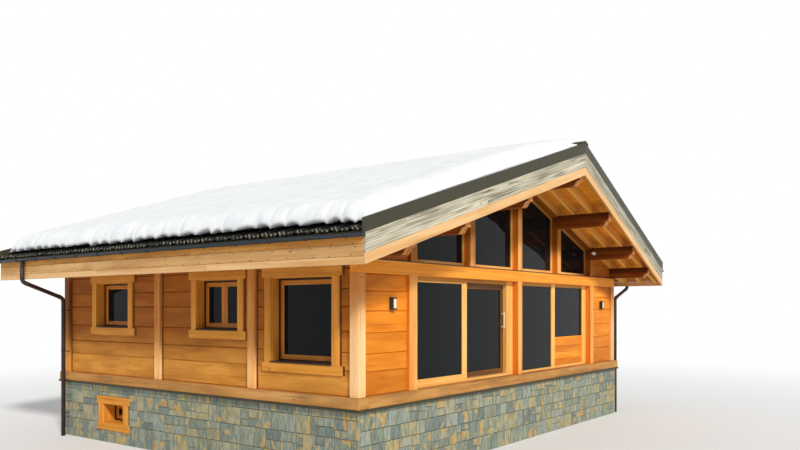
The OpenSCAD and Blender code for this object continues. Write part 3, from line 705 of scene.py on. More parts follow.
# Painted shade: dark strips between logs and posts, standing in for the shade beside them
SHADE_STRIP = Mineral("painted_shade_strip", "#6e4018", "#54300f", patch_mm=120.0)
WOOD_FIBRE = Mineral("wood_fibre_board", "#9c8a6a", "#7d6c4e", patch_mm=200.0)
# Folded steel sheet with a brown-grey coat
FLASHING_SHEET = CoatedSheet("coated_steel_flashing", "#3b392b", "#484636")
SILL_SHEET = CoatedSheet("coated_steel_window_sills", "#33271c", "#4a3a2c")
# Rolled gutters, blue-grey
GUTTER_SHEET = CoatedSheet("coated_steel_gutter", "#2a3136", "#3e484e", roughness=0.4)
# Drawn pipes, dark brown and glossier
PIPE_SHEET = CoatedSheet("coated_steel_downpipe", "#3a2a24", "#54412f", roughness=0.3)
TRACK_ALUMINIUM = CoatedSheet(
    "anodised_aluminium_track", "#b5b8b9", "#8f9293", metallic=1.0, roughness=0.35
)
HANDLE_ALUMINIUM = CoatedSheet(
    "cream_coated_aluminium_handle", "#efe8d4", "#d9d0ba", roughness=0.3
)
LAMP_STEEL = CoatedSheet("enamelled_steel_lamp", "#2e2a26", "#4a4640", roughness=0.35)
SPOT_STEEL = CoatedSheet("white_enamelled_spot", "#fbf7ea", "#e6e0cc", roughness=0.3)
OPAL_GLASS = LampGlass("opal_lamp_glass", opal="#efe9d8")
# Painted highlights: pale slanted runs on the tiles close to the eave
DARK_TILE = RoofTile("engobed_clay_tile", body="#141411", painted_highlight="#a8a288")
# Painted shade: a little blue in the hollows of the snow
ROOF_SNOW = SettledSnow("settled_snow", lit="#f1f3f4", hollow_shade="#e8ebee")
# Painted shade: the glass is tinted dark to stand in for the dim rooms behind it
DARK_GLASS = Glazing("sealed_double_glazing", tint="#1e2427", clear=0.6)


# Form of the house


@dataclass(frozen=True)
class HouseForm:
    """The sizes that several sub-assemblies share."""

    half_w: float = 5.85
    half_l: float = 4.75
    floor: float = 1.55
    plate: float = 3.98
    lintel: float = 3.719
    sill: float = 1.35
    post: float = 0.20
    sill_out: float = 0.08
    log_setback: float = 0.065
    outer_post: float = 4.215
    ridge: float = 6.119
    slope: float = math.tan(math.radians(18.12))
    half_roof: float = 6.95
    prow_eave: float = 5.83
    prow_ridge: float = 6.37
    back_verge: float = 5.68
    board: float = 0.04
    door_foot: float = 1.600
    door_head: float = 3.639

    def top(self, x: float, above: float = 0.0) -> float:
        """Height of a roof layer's face over the purlin tops at a place across the house."""
        return self.ridge - abs(x) * self.slope + above

    def front(self, x: float) -> float:
        """Where the front verge stands at a place across the house."""
        return -self.prow_eave - (self.prow_ridge - self.prow_eave) * (1 - abs(x) / self.half_roof)


HOUSE = HouseForm()


class Axis(Enum):
    """The axis of the house that a timber runs along."""

    X = 0
    Y = 1
    Z = 2


class Wall(Enum):
    """The four walls; each places points by distance along it, height and distance out."""

    FRONT = "front"
    BACK = "back"
    LEFT = "left"
    RIGHT = "right"

    def point(self, along: float, up: float, out: float) -> Vector:
        """Place a point on the wall.

        Args:
            along: X on the gables, Y on the eave walls.
            up: Height over the ground.
            out: Distance outwards from the faces of the posts.

        Returns:
            The point in the frame of the house.
        """
        if self is Wall.FRONT:
            return Vector((along, -HOUSE.half_l - out, up))
        if self is Wall.BACK:
            return Vector((along, HOUSE.half_l + out, up))
        if self is Wall.LEFT:
            return Vector((-HOUSE.half_w - out, along, up))
        return Vector((HOUSE.half_w + out, along, up))

    @property
    def runs(self) -> Vector:
        """Direction along the wall."""
        return ALONG_X if self in (Wall.FRONT, Wall.BACK) else ALONG_Y


def rectangle(across: Span, up: Span) -> Outline:
    """Give a rectangle as an outline; the ends of its spans may come in either order."""
    (a0, a1), (z0, z1) = sorted(across), sorted(up)
    return [(a0, z0), (a1, z0), (a1, z1), (a0, z1)]


def circle(radius: float, count: int) -> Outline:
    """Give a circle as an outline of so many points."""
    turns = [i * math.tau / count for i in range(count)]
    return [(radius * math.cos(t), radius * math.sin(t)) for t in turns]


def skin(count: int, rings: int) -> List[Face]:
    """Give the side faces of a solid that is made of rings of points.

    Args:
        count: Points in each ring.
        rings: How many rings follow one another.

    Returns:
        The faces, ring by ring.
    """
    faces = []
    for base in range(0, (rings - 1) * count, count):
        for i in range(count):
            j = (i + 1) % count
            faces.append((base + i, base + j, base + count + j, base + count + i))
    return faces


def cut_away(piece: Field, hole: Field) -> List[Field]:
    """Cut a rectangular hole out of a rectangular course.

    Args:
        piece: The course, as its span along the wall and its span in height.
        hole: The hole in the same form.

    Returns:
        The rectangles that are left.
    """
    (a0, a1), (z0, z1) = piece
    (b0, b1), (y0, y1) = hole
    if b1 <= a0 or b0 >= a1 or y1 <= z0 or y0 >= z1:
        return [piece]
    left = []
    if b0 > a0:
        left.append(((a0, b0), (z0, z1)))
    if b1 < a1:
        left.append(((b1, a1), (z0, z1)))
    middle = (max(a0, b0), min(a1, b1))
    if y0 > z0:
        left.append((middle, (z0, y0)))
    if y1 < z1:
        left.append((middle, (y1, z1)))
    return [p for p in left if p[0][1] - p[0][0] > 0.012 and p[1][1] - p[1][0] > 0.012]


def notched(log: Field, hole: Field) -> List[Outline]:
    """Cut an opening out of a log, which stays in one length where it is only notched.

    Args:
        log: The log, as its span along the wall and its span in height.
        hole: The opening in the same form.

    Returns:
        The outlines that are left.
    """
    (a0, a1), (z0, z1) = log
    (b0, b1), (y0, y1) = hole
    if b1 <= a0 or b0 >= a1 or y1 < z0 + 0.004 or y0 > z1 - 0.004:
        return [rectangle((a0, a1), (z0, z1))]
    if y0 > z0 + 0.02:
        return [[(a0, z0), (a1, z0), (a1, z1), (b1, z1), (b1, y0), (b0, y0), (b0, z1), (a0, z1)]]
    if y1 < z1 - 0.02:
        return [[(a0, z0), (b0, z0), (b0, y1), (b1, y1), (b1, z0), (a1, z0), (a1, z1), (a0, z1)]]
    return [rectangle((a0, b0), (z0, z1)), rectangle((b1, a1), (z0, z1))]


def below(outline: Outline, slope: float, level: float) -> Outline:
    """Keep the part of an outline under a sloping line.

    Args:
        outline: Points as (across, height).
        slope: Rise of the line for each metre across.
        level: Height of the line at 0.

    Returns:
        The outline that is left, which may be empty.
    """
    kept: Outline = []
    for first, second in zip(outline, outline[1:] + outline[:1]):
        over_first = first[1] - level - slope * first[0]
        over_second = second[1] - level - slope * second[0]
        if over_first <= 0:
            kept.append(first)
        if over_first * over_second < 0:
            share = over_first / (over_first - over_second)
            kept.append((first[0] + share * (second[0] - first[0]),
                         first[1] + share * (second[1] - first[1])))
    return kept


def drawn_in(outline: Outline, by: float) -> Outline:
    """Draw the edges of a convex outline inwards.

    Args:
        outline: Points in counter-clockwise order.
        by: Distance that each edge moves.

    Returns:
        The smaller outline, with as many points.
    """
    lines = []
    for first, second in zip(outline, outline[1:] + outline[:1]):
        dx, dy = second[0] - first[0], second[1] - first[1]
        size = math.hypot(dx, dy)
        lines.append((first[0] - dy / size * by, first[1] + dx / size * by, dx, dy))
    moved = []
    for line, after in zip(lines[-1:] + lines[:-1], lines):
        cross = line[2] * after[3] - line[3] * after[2]
        t = ((after[0] - line[0]) * after[3] - (after[1] - line[1]) * after[2]) / cross
        moved.append((line[0] + t * line[2], line[1] + t * line[3]))
    return moved


class Stock:
    """Timbers, stones or sheets collected into one mesh, each with its grain and tone."""

    def __init__(self, name: str) -> None:
        """Start an empty piece.

        Args:
            name: The name of the piece.
        """
        self.name = name
        self.mesh = bmesh.new()
        self.owner = self.mesh.faces.layers.int.new("owner")
        self.dice = random.Random(name)
        self.grains: List[Vector] = []
        self.tones: List[float] = []

    def solid(
        self, points: Sequence[Vector], faces: Iterable[Sequence[int]], grain: Vector,
        tone: Tone = None, smooth: bool = False,
    ) -> None:
        """Add one closed solid.

        Args:
            points: Its corners.
            faces: Its faces, as numbers of corners.
            grain: Direction of its grain.
            tone: Its tone from 0 to 1, or a random one.
            smooth: Whether its faces are shaded as curved.
        """
        corners = [self.mesh.verts.new(p) for p in points]
        number = len(self.grains)
        self.grains.append(grain.normalized())
        self.tones.append(self.dice.random() if tone is None else tone)
        for face in faces:
            made = self.mesh.faces.new([corners[i] for i in face])
            made[self.owner] = number
            made.smooth = smooth

    def hexa(self, corners: Iterable[Sequence[float]], edge: float, tone: Tone = None) -> None:
        """Add a six-sided timber with chamfered edges.

        Args:
            corners: Eight corners; bit 0 of the number runs along the grain, bit 1
                across it and bit 2 through the thickness.
            edge: Width of the chamfer.
            tone: Its tone, or a random one.
        """
        corners = [Vector(c) for c in corners]
        points: List[Vector] = []
        for k in range(8):
            sides = [(corners[k ^ (1 << a)] - corners[k]).normalized() * edge for a in range(3)]
            for a in range(3):
                points.append(corners[k] + sides[(a + 1) % 3] + sides[(a + 2) % 3])
        faces: List[Face] = []
        for a in range(3):
            b, c = (a + 1) % 3, (a + 2) % 3
            for side in (0, 1 << a):
                ring = (side, side | 1 << b, side | 1 << b | 1 << c, side | 1 << c)
                faces.append(tuple(3 * k + a for k in ring))
                for low in ring[:2]:
                    high = low | 1 << c
                    faces.append((3 * low + a, 3 * high + a, 3 * high + b, 3 * low + b))
        faces.extend((3 * k, 3 * k + 1, 3 * k + 2) for k in range(8))
        self.solid(points, faces, corners[1] - corners[0], tone)

    def block(
        self, one: Sequence[float], other: Sequence[float], axis: Axis, edge: float = 0.006,
        tone: Tone = None,
    ) -> None:
        """Add a straight timber between two opposite corners.

        Args:
            one: One corner.
            other: The corner across from it.
            axis: The axis that its grain follows.
            edge: Width of its chamfers.
            tone: Its tone, or a random one.
        """
        ends = [sorted(pair) for pair in zip(one, other)]
        corners = []
        for k in range(8):
            corner = [0.0, 0.0, 0.0]
            for bit in range(3):
                a = (axis.value + bit) % 3
                corner[a] = ends[a][k >> bit & 1]
            corners.append(corner)
        self.hexa(corners, edge, tone)

    def lay(
        self, wall: Wall, outline: Outline, out: Span, upright: bool = False,
        edge: float = 0.005, tone: Tone = None,
    ) -> None:
        """Lay a flat timber or stone on a wall, chamfered on its outer face.

        Args:
            wall: The wall it lies on.
            outline: Its outline as (along the wall, height).
            out: Its inner and outer face, as distances outwards from the posts.
            upright: Whether its grain is vertical.
            edge: Width of the chamfer.
            tone: Its tone, or a random one.
        """
        area = sum(a[0] * b[1] - b[0] * a[1] for a, b in zip(outline, outline[1:] + outline[:1]))
        ring = outline if area > 0 else outline[::-1]
        points = [wall.point(a, z, out[0]) for a, z in ring]
        points += [wall.point(a, z, out[1] - edge) for a, z in ring]
        points += [wall.point(a, z, out[1]) for a, z in drawn_in(ring, edge)]
        n = len(ring)
        caps: List[Face] = [tuple(range(n)), tuple(range(2 * n, 3 * n))]
        self.solid(points, caps + skin(n, 3), UP if upright else wall.runs, tone)

    def ring(self, wall: Wall, hole: Field, width: float, out: Span, edge: float) -> None:
        """Lay four timbers as a ring, the level ones between the upright ones.

        Args:
            wall: The wall they lie on.
            hole: What the ring fills, as its span along the wall and its span in height.
            width: Width of the timbers.
            out: Their inner and outer face.
            edge: Width of their chamfers.
        """
        (a0, a1), (z0, z1) = hole
        for span in ((a0, a0 + width), (a1 - width, a1)):
            self.lay(wall, rectangle(span, (z0, z1)), out, True, edge)
        for span in ((z0, z0 + width), (z1 - width, z1)):
            self.lay(wall, rectangle((a0 + width, a1 - width), span), out, False, edge)

    def copy_node(self, node: str, edge: float) -> None:
        """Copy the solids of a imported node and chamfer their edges.

        Args:
            node: The node's name.
            edge: Width of the chamfer.
        """
        part = bmesh.new()
        part.from_mesh(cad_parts[node].data)
        bmesh.ops.remove_doubles(part, verts=part.verts, dist=1e-5)
        bmesh.ops.dissolve_limit(
            part, angle_limit=0.02, verts=list(part.verts), edges=list(part.edges)
        )
        sharp = [e for e in part.edges if e.is_manifold and e.calc_face_angle() > 0.45]
        if sharp:
            bmesh.ops.bevel(
                part, geom=sharp, offset=edge, segments=1, affect="EDGES", clamp_overlap=True
            )
        part.verts.index_update()
        seen = set()
        for start in part.verts:
            if start in seen:
                continue
            island = [start]
            seen.add(start)
            for vert in island:
                for other in [link.other_vert(vert) for link in vert.link_edges]:
                    if other not in seen:
                        seen.add(other)
                        island.append(other)
            spread = np.array([v.co for v in island])
            spread = spread - spread.mean(axis=0)
            grain = Vector(np.linalg.svd(spread, full_matrices=False)[2][0])
            number = {v: i for i, v in enumerate(island)}
            faces = {f for v in island for f in v.link_faces}
            ordered = sorted(faces, key=lambda f: [v.index for v in f.verts])
            self.solid(
                [v.co.copy() for v in island],
                [[number[v] for v in f.verts] for f in ordered], grain,
            )
        part.free()

    def tube(
        self, path: Sequence[Vector], outline: Outline, up: Vector, smooth: bool = True,
        tone: Tone = None,
    ) -> None:
        """Carry a closed outline along a path.

        Args:
            path: The points of the path.
            outline: The outline as (sideways, up) from the path.
            up: A direction that is never along the path.
            smooth: Whether its long faces are shaded as curved.
            tone: Its tone, or a random one.
        """
        points: List[Vector] = []
        for i, spot in enumerate(path):
            before = (spot - path[i - 1]).normalized() if i else (path[1] - spot).normalized()
            after = (path[i + 1] - spot).normalized() if i + 1 < len(path) else before
            way = (before + after).normalized()
            side = way.cross(up).normalized()
            rise = side.cross(way).normalized()
            stretch = 1.0 / max(0.4, way.dot(before))
            points += [spot + side * a + rise * b * stretch for a, b in outline]
        n = len(outline)
        foot, head = tuple(range(n))[::-1], tuple((len(path) - 1) * n + i for i in range(n))
        faces = [foot, *skin(n, len(path)), head]
        self.solid(points, faces, path[-1] - path[0], tone, smooth)

    def build(
        self, finish: Finish, slot: str, stands_for: Sequence[str] = (), body: str = "house"
    ) -> bpy.types.Object:
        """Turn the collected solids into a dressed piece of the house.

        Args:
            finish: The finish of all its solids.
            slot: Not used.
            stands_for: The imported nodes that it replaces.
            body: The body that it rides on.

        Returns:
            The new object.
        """
        bmesh.ops.recalc_face_normals(self.mesh, faces=list(self.mesh.faces))
        self.mesh.normal_update()
        grain_map = self.mesh.loops.layers.uv.new("grain")
        tone = self.mesh.faces.layers.float.new("tone")
        shifts = [self.dice.uniform(0.0, 30.0) for _ in self.grains]
        for face in self.mesh.faces:
            number = face[self.owner]
            grain = self.grains[number]
            face[tone] = self.tones[number]
            across = face.normal.cross(grain)
            if across.length < 0.35:
                helper = UP if abs(grain.z) < 0.7 else ALONG_X
                grain = face.normal.cross(helper)
                across = face.normal.cross(grain)
            across.normalize()
            for loop in face.loops:
                spot = loop.vert.co
                loop[grain_map].uv = (spot.dot(grain) + shifts[number], spot.dot(across))
        data = bpy.data.meshes.new(self.name)
        self.mesh.to_mesh(data)
        self.mesh.free()
        piece = bpy.data.objects.new(self.name, data)
        bpy.context.scene.collection.objects.link(piece)
        data.materials.append(finish.material())
        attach(piece, body)
        if stands_for:
            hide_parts(*stands_for)
        LOG.info("%s: %d solids, %d faces", self.name, len(self.grains), len(data.polygons))
        return piece


def recut(piece: str, node: str, edge: float, finish: Finish, slot: str) -> bpy.types.Object:
    """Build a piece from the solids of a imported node, with chamfered edges.

    Args:
        piece: The name of the piece.
        node: The node that it stands for.
        edge: Width of the chamfers.
        finish: The finish.
        slot: The record's material slot.

    Returns:
        The new object.
    """
    stock = Stock(piece)
    stock.copy_node(node, edge)
    return stock.build(finish, slot, [node])


def dress_node(node: str, finish: Finish, grain: Grain = Grain.ALONG_X) -> None:
    """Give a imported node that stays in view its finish.

    Args:
        node: The node's name.
        finish: The finish.
        grain: The axis that the pattern follows.
    """
    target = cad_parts[node]
    target.data.materials.clear()
    target.data.materials.append(finish.material(grain))
    LOG.info("%s: dressed as %s", node, finish.name)


# Sub-assemblies


@dataclass
class Window:
    """One casement window in its opening."""

    wall: Wall
    near: float
    foot: float
    width: float
    height: float
    sashes: int
    frame_back: float = 0.30
    casing_out: Span = (-0.065, -0.025)
    casing_w: float = 0.17
    ear: float = 0.07

    @property
    def hole(self) -> Field:
        """The opening's span along the wall and in height."""
        return ((self.near, self.near + self.width), (self.foot, self.foot + self.height))

    @property
    def trim(self) -> Field:
        """The span of the casing with its ears."""
        side = self.casing_w + self.ear
        return (
            (self.near - side, self.near + self.width + side),
            (self.foot - self.casing_w, self.foot + self.height + self.casing_w),
        )


@dataclass
class Windows:
    """All plain windows: casings, reveals, frames, sashes, glazing beads and sills."""

    frame_w: float = 0.052
    frame_t: float = 0.070
    sash_w: float = 0.062
    sash_t: float = 0.056
    bead_w: float = 0.030
    reveal_t: float = 0.018

    def list_all(self) -> List[Window]:
        """List the windows of the four walls and the basement.

        Returns:
            The windows, with places along each wall.
        """
        y0 = -HOUSE.half_l
        windows = []
        for wall in (Wall.LEFT, Wall.RIGHT):
            windows += [
                Window(wall, y0 + 0.650, 2.080, 1.560, 1.605, 1),
                Window(wall, y0 + 3.150, 2.650, 1.280, 1.035, 2),
                Window(wall, y0 + 6.865, 2.650, 1.280, 1.035, 1),
                Window(wall, y0 + 6.960, 0.450, 0.810, 0.440, 1, 0.34, (0.0, 0.04)),
            ]
        width, height, clear = 1.10, 1.035, 0.03
        foot = HOUSE.lintel - height - Window.casing_w - clear
        windows += [
            Window(Wall.BACK, x - width / 2, foot, width, height, 2) for x in (-2.81, 0.0, 2.81)
        ]
        return windows

    def build(self) -> None:
        """Build and dress the pieces of every window."""
        casings = Stock("window_casing_boards")
        rings = Stock("window_frame_rings")
        sashes = Stock("window_sashes")
        for window in self.list_all():
            self.case(casings, window)
            back = -window.frame_back
            out = (back, back + self.frame_t)
            rings.ring(window.wall, window.hole, self.frame_w, out, 0.004)
            self.hang(sashes, window, back)
        casings.build(CASING_LARCH, "pale_larch", ["window_casings"])
        rings.build(RING_PINE, "frame_wood", ["window_frames"])
        sashes.build(FRAME_PINE, "frame_wood")
        recut("window_sill_sheets", "window_sills", 0.004, SILL_SHEET, "dark_metal")
        dress_node("window_glass", DARK_GLASS)

    def hang(self, stock: Stock, window: Window, back: float) -> None:
        """Lay the sashes of a window with their glazing beads, and the strip where two meet.

        Args:
            stock: The piece that they go to.
            window: The window.
            back: Distance of the frame's inner face.
        """
        inner = window.width - 2 * self.frame_w
        start = window.near + self.frame_w
        foot = window.foot + self.frame_w
        head = window.foot + window.height - self.frame_w
        w, front = self.sash_w, back + self.sash_t
        for i in range(window.sashes):
            a0, a1 = (start + inner * share / window.sashes for share in (i, i + 1))
            stock.ring(window.wall, ((a0, a1), (foot, head)), w, (back, front), 0.008)
            stock.ring(
                window.wall, ((a0 + w, a1 - w), (foot + w, head - w)), self.bead_w,
                (back + 0.0402, back + 0.052), 0.003,
            )
        if window.sashes == 2:
            middle = window.near + window.width / 2
            strip = rectangle((middle - 0.022, middle + 0.022), (foot, head))
            stock.lay(window.wall, strip, (front, front + 0.010), True, 0.003)

    def case(self, stock: Stock, window: Window) -> None:
        """Lay the casing boards round a window and line its reveal.

        Args:
            stock: The piece that they go to.
            window: The window.
        """
        (a0, a1), (z0, z1) = window.hole
        across, (y0, y1) = window.trim
        w, t = window.casing_w, self.reveal_t
        for span in ((a0 - w, a0), (a1, a1 + w)):
            stock.lay(window.wall, rectangle(span, (z0, z1)), window.casing_out, True)
        for up in ((z1, y1), (y0, z0)):
            stock.lay(window.wall, rectangle(across, up), window.casing_out)
        out = (-window.frame_back + self.frame_t, window.casing_out[0])
        # Only the basement windows lie deep; the others have a metal sill instead of a board
        deep = window.frame_back > 0.32
        for span in ((a0, a0 + t), (a1 - t, a1)):
            up = (z0 if deep else z0 + 0.026, z1)
            stock.lay(window.wall, rectangle(span, up), out, True, 0.002)
        for up in ((z1 - t, z1), (z0, z0 + t))[:2 if deep else 1]:
            stock.lay(window.wall, rectangle((a0 + t, a1 - t), up), out, False, 0.002)


@dataclass
class Basement:
    """Masonry walls clad with split slate, and the concrete floor inside."""

    top: float = 1.344
    joint: float = 0.006
    low_course: float = 0.24
    high_course: float = 0.46
    short_slab: float = 0.16
    long_slab: float = 0.44
    proud: Span = (0.018, 0.028)

    def clad(self, wall: Wall, ends: Span, windows: Sequence[Window]) -> None:
        """Lay the slabs of one wall.

        Args:
            wall: The wall.
            ends: Its span.
            windows: Windows whose casings the slabs stop at.
        """
        stock = Stock(f"slate_cladding_{wall.value}")
        dice = stock.dice
        gap = self.joint / 2
        foot = 0.0
        while foot < self.top - 0.02:
            height = dice.uniform(self.low_course, self.high_course)
            head = min(self.top, foot + height)
            if self.top - head < 0.09:
                head = self.top
            start = ends[0]
            while start < ends[1] - 0.01:
                end = min(ends[1], start + dice.uniform(self.short_slab, self.long_slab))
                if ends[1] - end < 0.10:
                    end = ends[1]
                slabs = [((start, end), (foot, head))]
                if head - foot > 0.27 and dice.random() < 0.45:
                    split = foot + (head - foot) * dice.uniform(0.38, 0.62)
                    slabs = [((start, end), (foot, split)), ((start, end), (split, head))]
                for window in windows:
                    slabs = [left for s in slabs for left in cut_away(s, window.trim)]
                for (a0, a1), (z0, z1) in slabs:
                    if a1 - a0 < 0.04 or z1 - z0 < 0.04:
                        continue
                    ring = [
                        (a + s * (gap + dice.uniform(0, 0.005)),
                         z + r * (gap + dice.uniform(0, 0.004)))
                        for a, s, z, r in ((a0, 1, z0, 1), (a1, -1, z0, 1),
                                           (a1, -1, z1, -1), (a0, 1, z1, -1))
                    ]
                    stock.lay(wall, ring, (0.0, dice.uniform(*self.proud)), False, 0.005)
                start = end
            foot = head
        stock.build(CLADDING_SLATE, "slate_stone")

    def build(self, windows: Sequence[Window]) -> None:
        """Clad the four walls and dress what lies behind.

        Args:
            windows: All windows of the house.
        """
        corner = self.proud[1]
        side = (-HOUSE.half_l - corner, HOUSE.half_l + corner)
        gable = (-HOUSE.half_w, HOUSE.half_w)
        for wall, ends in ((Wall.FRONT, gable), (Wall.BACK, gable),
                           (Wall.LEFT, side), (Wall.RIGHT, side)):
            near = [w for w in windows if w.wall is wall and w.foot < HOUSE.sill]
            self.clad(wall, ends, near)
            dress_node(f"basement_wall_{wall.value}", BED_MORTAR)
        dress_node("basement_floor", CAST_CONCRETE)
        dress_node("drip_flashing", FLASHING_SHEET)


@dataclass
class TimberFrame:
    """Sill beams, posts and the lintel beams of both gables."""

    side_posts: Tuple[float, ...] = (-2.02, 0.98)
    jamb: float = 0.25
    purlin_h: float = 0.30

    def build(self) -> None:
        """Build and dress the frame."""
        self.sills()
        self.posts()
        self.gables()

    def sills(self) -> None:
        """Lay the ring of sill beams, lapped at the corners."""
        stock = Stock("sill_beam_ring")
        w, l = HOUSE.half_w + HOUSE.sill_out, HOUSE.half_l + HOUSE.sill_out
        in_w, in_l = HOUSE.half_w - HOUSE.post, HOUSE.half_l - HOUSE.post
        z0, z1 = HOUSE.sill + 0.0005, HOUSE.floor
        for side in (-1, 1):
            stock.block((side * in_w, -l, z0), (side * w, l, z1), Axis.Y, 0.008)
            stock.block(
                (0.001 - in_w, side * in_l, z0), (in_w - 0.001, side * l, z1), Axis.X, 0.008
            )
        stock.build(SILL_LARCH, "pale_larch", ["sill_beams"])

    def posts(self) -> None:
        """Stand the posts of the eave walls and of the four corners."""
        stock = Stock("eave_wall_posts")
        near = Stock("front_corner_posts")
        far = Stock("back_corner_posts")
        p, floor = HOUSE.post, HOUSE.floor
        for side in (-1, 1):
            x0, x1 = side * HOUSE.half_w, side * (HOUSE.half_w - p)
            for y in self.side_posts:
                stock.block((x0, y - p / 2, floor), (x1, y + p / 2, HOUSE.plate), Axis.Z)
            for end, here in ((-1, near), (1, far)):
                y0, y1 = end * HOUSE.half_l, end * (HOUSE.half_l - p)
                # Painted shade: the corner posts on the right side are darker
                tone = 0.6 if side < 0 else 0.0
                here.block((x0, y0, floor), (x1, y1, HOUSE.lintel), Axis.Z, tone=tone)
        stock.build(SIDE_LARCH, "pale_larch", ["side_wall_posts"])
        near.build(CORNER_LARCH, "pale_larch")
        far.build(BACK_LARCH, "pale_larch")

    def gables(self) -> None:
        """Stand the gable posts and lay the lintel beams."""
        front = Stock("front_gable_posts")
        back = Stock("back_gable_posts")
        beam = Stock("front_lintel_timber")
        drip = Stock("lintel_drip_sheet")
        w, l, p, outer = HOUSE.half_w, HOUSE.half_l, HOUSE.post, HOUSE.outer_post
        floor, lintel, plate = HOUSE.floor, HOUSE.lintel, HOUSE.plate
        inner = -outer + p / 2
        for x0, x1 in ((inner - self.jamb, inner), (-p / 2, p / 2), (outer - p / 2, outer + p / 2)):
            front.block((x0, -l, floor), (x1, p - l, lintel), Axis.Z)
        for x in (-outer, -outer / 3, outer / 3, outer):
            back.block((x - p / 2, l - p, floor), (x + p / 2, l, lintel), Axis.Z)
        for x in (-outer, -outer / 2, 0.0, outer / 2, outer):
            head = HOUSE.top(x) - self.purlin_h
            for stock, y in ((front, -l), (back, l - p)):
                stock.block((x - p / 2, y, plate), (x + p / 2, y + p, head), Axis.Z)
        back.block((-w, l - p, lintel), (w, l, plate), Axis.X, 0.008)
        beam.block((-w, -l, lintel), (w, p - l, plate), Axis.X, 0.008)
        drip.block(
            (0.01 - w, -l - 0.012, plate - 0.016), (w - 0.01, 0.0005 - l, plate + 0.002), Axis.X,
            0.002,
        )
        front.build(POST_LARCH, "pale_larch", ["front_posts"])
        back.build(POST_LARCH, "pale_larch", ["back_timber_frame"])
        beam.build(LINTEL_LARCH, "honey_larch", ["front_lintel_beam"])
        drip.build(FLASHING_SHEET, "dark_metal")


